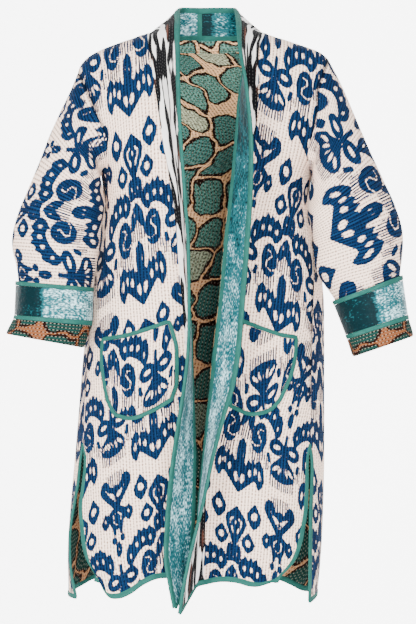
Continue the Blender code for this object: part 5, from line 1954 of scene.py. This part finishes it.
    @staticmethod
    def slit(points: Array, normals: Array, edge: int, rows: Array) -> tuple[Array, ...]:
        """Path of a binding down a slit.

        Args:
            points: grid of the panel.
            normals: its unit normals.
            edge: its first column, 0, or its last, -1.
            rows: control position of each row.

        Returns:
            Points, normals and outward directions, from the slit's top.
        """
        chosen = np.flatnonzero((rows <= SLIT_ROW) & (rows > 0.0))[::-1][::2]
        line = points[chosen, edge]
        return line, normals[chosen, edge], unit(line - points[chosen, -2 if edge else 1])

    @staticmethod
    def corner(points: Array, normals: Array, edge: int, out: Array,
               down: Array) -> tuple[Array, ...]:
        """Path of a binding round the corner at the foot of a slit.

        Args:
            points: grid of the panel.
            normals: its unit normals.
            edge: its first column, 0, or its last, -1.
            out: outward direction at the slit's foot.
            down: outward direction at the hem's end.

        Returns:
            Points, normals and outward directions, from the slit to the hem.
        """
        turn = np.linspace(0.15, 0.85, CORNER_STEPS)[:, None]
        return (np.repeat(points[:1, edge], CORNER_STEPS, axis=0),
                np.repeat(normals[:1, edge], CORNER_STEPS, axis=0),
                unit(out * (1.0 - turn) + down * turn))

    def add_hem(self, name: str, parts: list[tuple[Array, ...]], extra: Array | float,
                seed: int) -> None:
        """Hem binding: narrow at the top of a slit, thicker over the band.

        Args:
            name: its name.
            parts: stretches of its path, each with points, normals and outward directions.
            extra: how much thicker it is than over plain cloth.
            seed: seed of its unevenness.
        """
        path, ups, outward = (np.concatenate(item) for item in zip(*parts))
        width = np.interp(path[:, 2], (-830.0, -790.0, -742.0, -718.0),
                          (HEM_BINDING, 6.0, 4.6, 1.4))
        rise = CLOTH / 2.0 + BINDING_RISE
        swell = 0.3 * along_noise(run_length(path, 0), 8.0, seed)
        profile = rounded_profile(-HEM_LAP, width, -rise - swell, rise + extra + swell)
        self.add_sweep(name, place_profile(path, ups, outward, profile))

    def add_front_hem(self, side: Side) -> None:
        """Binding down a front's slit and along its hem to the free edge.

        Args:
            side: which side.
        """
        band = self.body.band[side][:len(self.body.front[side])]
        controls = np.concatenate((self.body.front[side][:, :-1],
                                   band[:, BAND_COLUMNS]), axis=1)
        points = finer(controls, HEM_SPACING)
        normals = grid_normals(points, side.value)
        slit = self.slit(points, normals, 0, stations(controls, HEM_SPACING))
        down = unit(points[0] - points[1])
        corner = self.corner(points, normals, 0, slit[2][-1], down[0])
        parts = [slit, corner, (points[0, 1:], normals[0, 1:], down[1:])]
        count = sum(len(part[0]) for part in parts)
        banded = (stations(controls, HEM_SPACING, 1) > SHOULDER_COLUMNS).sum()
        extra = np.where(np.arange(count) >= count - banded, GAP + TRIM, 0.0)
        self.add_hem(f"hem_binding_{side.word}", parts, extra, 21 + side.value)

    def add_back_hem(self) -> None:
        """Binding down one slit of the back, along its hem and up the other slit."""
        controls = self.body.back
        points = finer(controls, HEM_SPACING)
        normals = grid_normals(points, 1.0)
        down = unit(points[0] - points[1])
        ends = []
        for edge in (0, -1):
            slit = self.slit(points, normals, edge, stations(controls, HEM_SPACING))
            ends.append((slit, self.corner(points, normals, edge, slit[2][-1], down[edge])))
        hem = (points[0, 1:-1], normals[0, 1:-1], down[1:-1])
        last = [tuple(item[::-1] for item in part) for part in ends[1][::-1]]
        self.add_hem("hem_binding_back", [*ends[0], hem, *last], 0.0, 31)

    def add_sleeve(self, side: Side) -> None:
        """Sleeve and its lining, from the armhole to just inside the cuff's turned end.

        Args:
            side: which side.
        """
        points = self.body.sleeve_grid(side, FINE)
        wrapped = np.concatenate((points, points[:, :1]), axis=1)
        along, around = run_length(points, 0), run_length(wrapped, 1)
        girth, start = around[:, -1:], around[:, :-1]
        start = np.where(start > start.max(axis=1, keepdims=True) / 2.0 + 40.0,
                         start - girth, start)
        across, up = SLEEVE_WEAVES[side].place(points, start)
        uv = np.stack((np.broadcast_to(along.mean(axis=1, keepdims=True), wrapped.shape[:2]),
                       around), axis=-1) * MM
        # painted shadow round the top of the sleeve, along the armhole
        self.add_wall(Piece(f"sleeve_{side.word}", Cloth.IKAT), points,
                      grid_normals(points, float(-side.value), closed=True), OUTER,
                      cloth_map=uv, closed=True,
                      values={"dye": dye_depth(across, up),
                              "painted_seam_shadow": np.clip(1.0 - along / ARMHOLE_SHADE, 0.0, 1.0)})
        points = self.body.sleeve_grid(side, SLEEVE_LINING_SPACING)
        # the sleeve's lining takes an even painted shade
        self.add_lining(f"sleeve_lining_{side.word}", points,
                        grid_normals(points, float(-side.value), closed=True), 0.4,
                        closed=True)

    def add_cuff(self, side: Side) -> None:
        """Turned-back cuff: its lining band with the turned end, velvet and bindings.

        Args:
            side: which side.
        """
        angles = np.linspace(0.0, 2.0 * math.pi, CUFF_COLUMNS, endpoint=False)
        x = tube_ring(cuff_row(CUFFS[side], 0.6), angles)[:, 0]
        # painted light and shade: the cuff's velvet and bindings run dark on one side across the
        # front view and pale on the other
        dark = 0.34 if side is Side.RIGHT else 0.55
        tone = np.interp((x - x.min()) / np.ptp(x), (dark - 0.05, dark + 0.05), (-0.38, 0.16))

        def rings(corners: Array | tuple) -> Array:
            """Sections of a ring round the cuff, from fractions up it and heights over it."""
            return np.stack([tube_ring(cuff_row(CUFFS[side], fraction), angles, -height)
                             for fraction, height in corners], axis=1)

        # the cuff's lining band is drawn with the lining's painted shade at full strength
        self.add_sweep(f"cuff_lining_{side.word}", rings(CUFF_TURN), Cloth.LINING, ring=True,
                       tone=1.8)
        for name, start, end, low, high, cloth in CUFF_PARTS:
            profile = rounded_profile(start, end, low, high)[0]
            if cloth is Cloth.VELVET:
                inner = np.linspace(start, end, 6)[1:-1]
                profile = ([(start, low), (start, high)] + [(part, high) for part in inner]
                           + [(end, high), (end, low)] + [(part, low) for part in inner[::-1]])
            self.add_sweep(f"{name}_{side.word}", rings(profile), cloth, ring=True, tone=tone)

    def add_pocket(self, side: Side) -> None:
        """Patch pocket that lies on the front, and the binding round it.

        Args:
            side: which side.
        """
        half = HALVES[side]
        flat = coons(*(short_curve(POCKETS[side][key], POCKET_STEPS)
                       for key in ("outer", "inner", "bottom", "top")))
        centre, size = flat.mean(axis=(0, 1)), np.ptp(flat, axis=(0, 1))
        flat = centre + (flat - centre) * (1.0 - POCKET_BINDING / size)
        points = half.point(half.angle(flat[..., 0], flat[..., 1]), flat[..., 1])
        normals = grid_normals(points, side.value)
        x, z, sense = POCKET_WINGS[side]
        spot = nearest_spot(points, x, z)
        across = run_length(points, 1) / UNIT
        up = sense * run_length(points, 0) / UNIT - POCKET_SLANT * across
        dye = dye_depth(across + WINGS[0] - across[spot], up + WINGS[1] - up[spot])
        self.add_wall(Piece(f"pocket_{side.word}", Cloth.IKAT), points, normals,
                      POCKET_HEIGHTS, values={"dye": dye})
        loop, ups = (np.concatenate((grid[0, :-1], grid[:-1, -1], grid[-1, :0:-1],
                                     grid[:0:-1, 0])) for grid in (points, normals))
        along = unit(np.roll(loop, -1, axis=0) - np.roll(loop, 1, axis=0))
        outward = unit(np.cross(along, ups)) * float(-side.value)
        for _ in range(3):
            outward = unit(np.roll(outward, 1, axis=0) + outward + np.roll(outward, -1, axis=0))
        profile = rounded_profile(2.0 * GAP, POCKET_BINDING, 1.6, 4.5)
        self.add_sweep(f"pocket_binding_{side.word}",
                       place_profile(loop, ups, outward, profile), ring=True)


def short_curve(points: tuple, steps: int) -> Array:
    """Even points along a smooth curve through a few (x, z) pairs.

    Args:
        points: the pairs.
        steps: how many steps to make.

    Returns:
        (steps + 1, 2) points.
    """
    rows = np.array(points, float)
    run = np.concatenate(((0.0,), np.cumsum(np.linalg.norm(np.diff(rows, axis=0), axis=1))))
    at = np.linspace(0.0, run[-1], steps + 1)
    return np.stack([smooth_curve(run, rows[:, axis], at) for axis in (0, 1)], axis=-1)


class Studio:
    """Pale floor and backdrop, soft lights and a long-lens camera level with the robe."""

    distance = 31.2
    lens = 1000.0
    centre = (0.0018, -0.1, -0.4806)
    lights = (("key_light", (-1.8, -3.6, 1.6), 350.0, 1.4),
              ("fill_light", (0.7, -4.6, -0.2), 310.0, 1.6))

    def stage(self, name: str, data: bpy.types.ID) -> bpy.types.Object:
        """Make a named object that belongs to the studio.

        Args:
            name: its name.
            data: its mesh, light or camera.

        Returns:
            The object.
        """
        made = bpy.data.objects.new(name, data)
        bpy.context.scene.collection.objects.link(made)
        made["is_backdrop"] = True
        return made

    def paper(self) -> bpy.types.Material:
        """Pale paper that glows toward the wall and is clear when seen from behind.

        Returns:
            The material.
        """
        paper = bpy.data.materials.new("backdrop_paper")
        paper.use_nodes = True
        nodes = paper.node_tree.nodes
        surface = nodes["Principled BSDF"]
        surface.inputs["Base Color"].default_value = (0.88, 0.88, 0.88, 1.0)
        surface.inputs["Roughness"].default_value = 0.9
        surface.inputs["Emission Color"].default_value = (1.0, 1.0, 1.0, 1.0)
        split, place, glow, behind, clear, geometry = (nodes.new("ShaderNode" + kind) for kind in (
            "SeparateXYZ", "TexCoord", "MapRange", "MixShader", "BsdfTransparent",
            "NewGeometry"))
        for socket, value in zip(glow.inputs[1:5], (1.8, 2.8, 0.0, 5.0)):
            socket.default_value = value
        for start, end in ((place.outputs["Object"], split.inputs[0]),
                           (split.outputs[1], glow.inputs[0]),
                           (glow.outputs[0], surface.inputs["Emission Strength"]),
                           (geometry.outputs["Backfacing"], behind.inputs[0]),
                           (surface.outputs[0], behind.inputs[1]),
                           (clear.outputs[0], behind.inputs[2]),
                           (behind.outputs[0], nodes["Material Output"].inputs["Surface"])):
            paper.node_tree.links.new(start, end)
        return paper

    def add_backdrop(self) -> None:
        """Seamless sheet: a floor that curves up into a wall."""
        turn = np.linspace(0.0, math.pi / 2.0, 12)
        profile = np.concatenate((((-9.0, -1.75),), np.stack((
            2.0 + 1.2 * np.sin(turn), -0.55 - 1.2 * np.cos(turn)), axis=-1), ((3.2, 4.5),)))
        points = np.concatenate([np.column_stack((np.full(len(profile), x), profile))
                                 for x in (-6.0, 6.0)])
        mesh = bpy.data.meshes.new("backdrop")
        grid = np.arange(len(points)).reshape(2, -1)
        mesh.from_pydata(points.tolist(), [], strip_quads(grid).tolist())
        mesh.shade_smooth()
        mesh.materials.append(self.paper())
        self.stage("backdrop", mesh)

    def add_light(self, name: str, place: tuple[float, float, float], power: float,
                  size: float) -> None:
        """Soft square light that faces the robe.

        Args:
            name: its name.
            place: where it stands.
            power: its power in watts.
            size: its side in metres.
        """
        light = bpy.data.lights.new(name, "AREA")
        light.energy, light.size = power, size
        made = self.stage(name, light)
        made.location = place
        aim = Vector(self.centre) - Vector(place)
        made.rotation_euler = aim.to_track_quat("-Z", "Y").to_euler()

    def build(self) -> None:
        """Add the backdrop, the lights, the world and the camera."""
        self.add_backdrop()
        for light in self.lights:
            self.add_light(*light)
        world = bpy.data.worlds.new("studio")
        world.use_nodes = True
        sky = world.node_tree.nodes["Background"]
        sky.inputs["Color"].default_value = (1.0, 1.0, 1.0, 1.0)
        sky.inputs["Strength"].default_value = 0.85
        bpy.context.scene.world = world
        camera = bpy.data.cameras.new("camera")
        camera.lens, camera.sensor_width, camera.clip_end = self.lens, 36.0, 90.0
        made = self.stage("camera", camera)
        made.location = (self.centre[0], self.centre[1] - self.distance, self.centre[2])
        made.rotation_euler = (math.pi / 2.0, 0.0, 0.0)
        bpy.context.scene.camera = made


def box_of(objects: list[bpy.types.Object]) -> list[list[float]]:
    """Least and greatest corner of some objects.

    Args:
        objects: the objects.

    Returns:
        The two corners, in metres.
    """
    corners = []
    for item in objects:
        co = np.empty(len(item.data.vertices) * 3)
        item.data.vertices.foreach_get("co", co)
        co = co.reshape(-1, 3)
        corners += [co.min(axis=0), co.max(axis=0)]
    return [np.min(corners, axis=0).tolist(), np.max(corners, axis=0).tolist()]


def main() -> None:
    """Load the frame, build the robe over it, and set the studio."""
    logging.basicConfig(level=logging.INFO, format="%(message)s")
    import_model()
    low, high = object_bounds()
    robe = Robe(Cloths(), Body())
    for side in Side:
        robe.add_front(side)
        robe.add_band(side)
        robe.add_front_hem(side)
        robe.add_sleeve(side)
        robe.add_cuff(side)
        robe.add_pocket(side)
    robe.add_collar_tape()
    robe.add_back()
    robe.add_back_hem()
    Studio().build()
    sizes = {"cad": [list(map(float, low)), list(map(float, high))],
             "visual": box_of(list(robe.made.values()))}


if __name__ == "__main__":
    main()
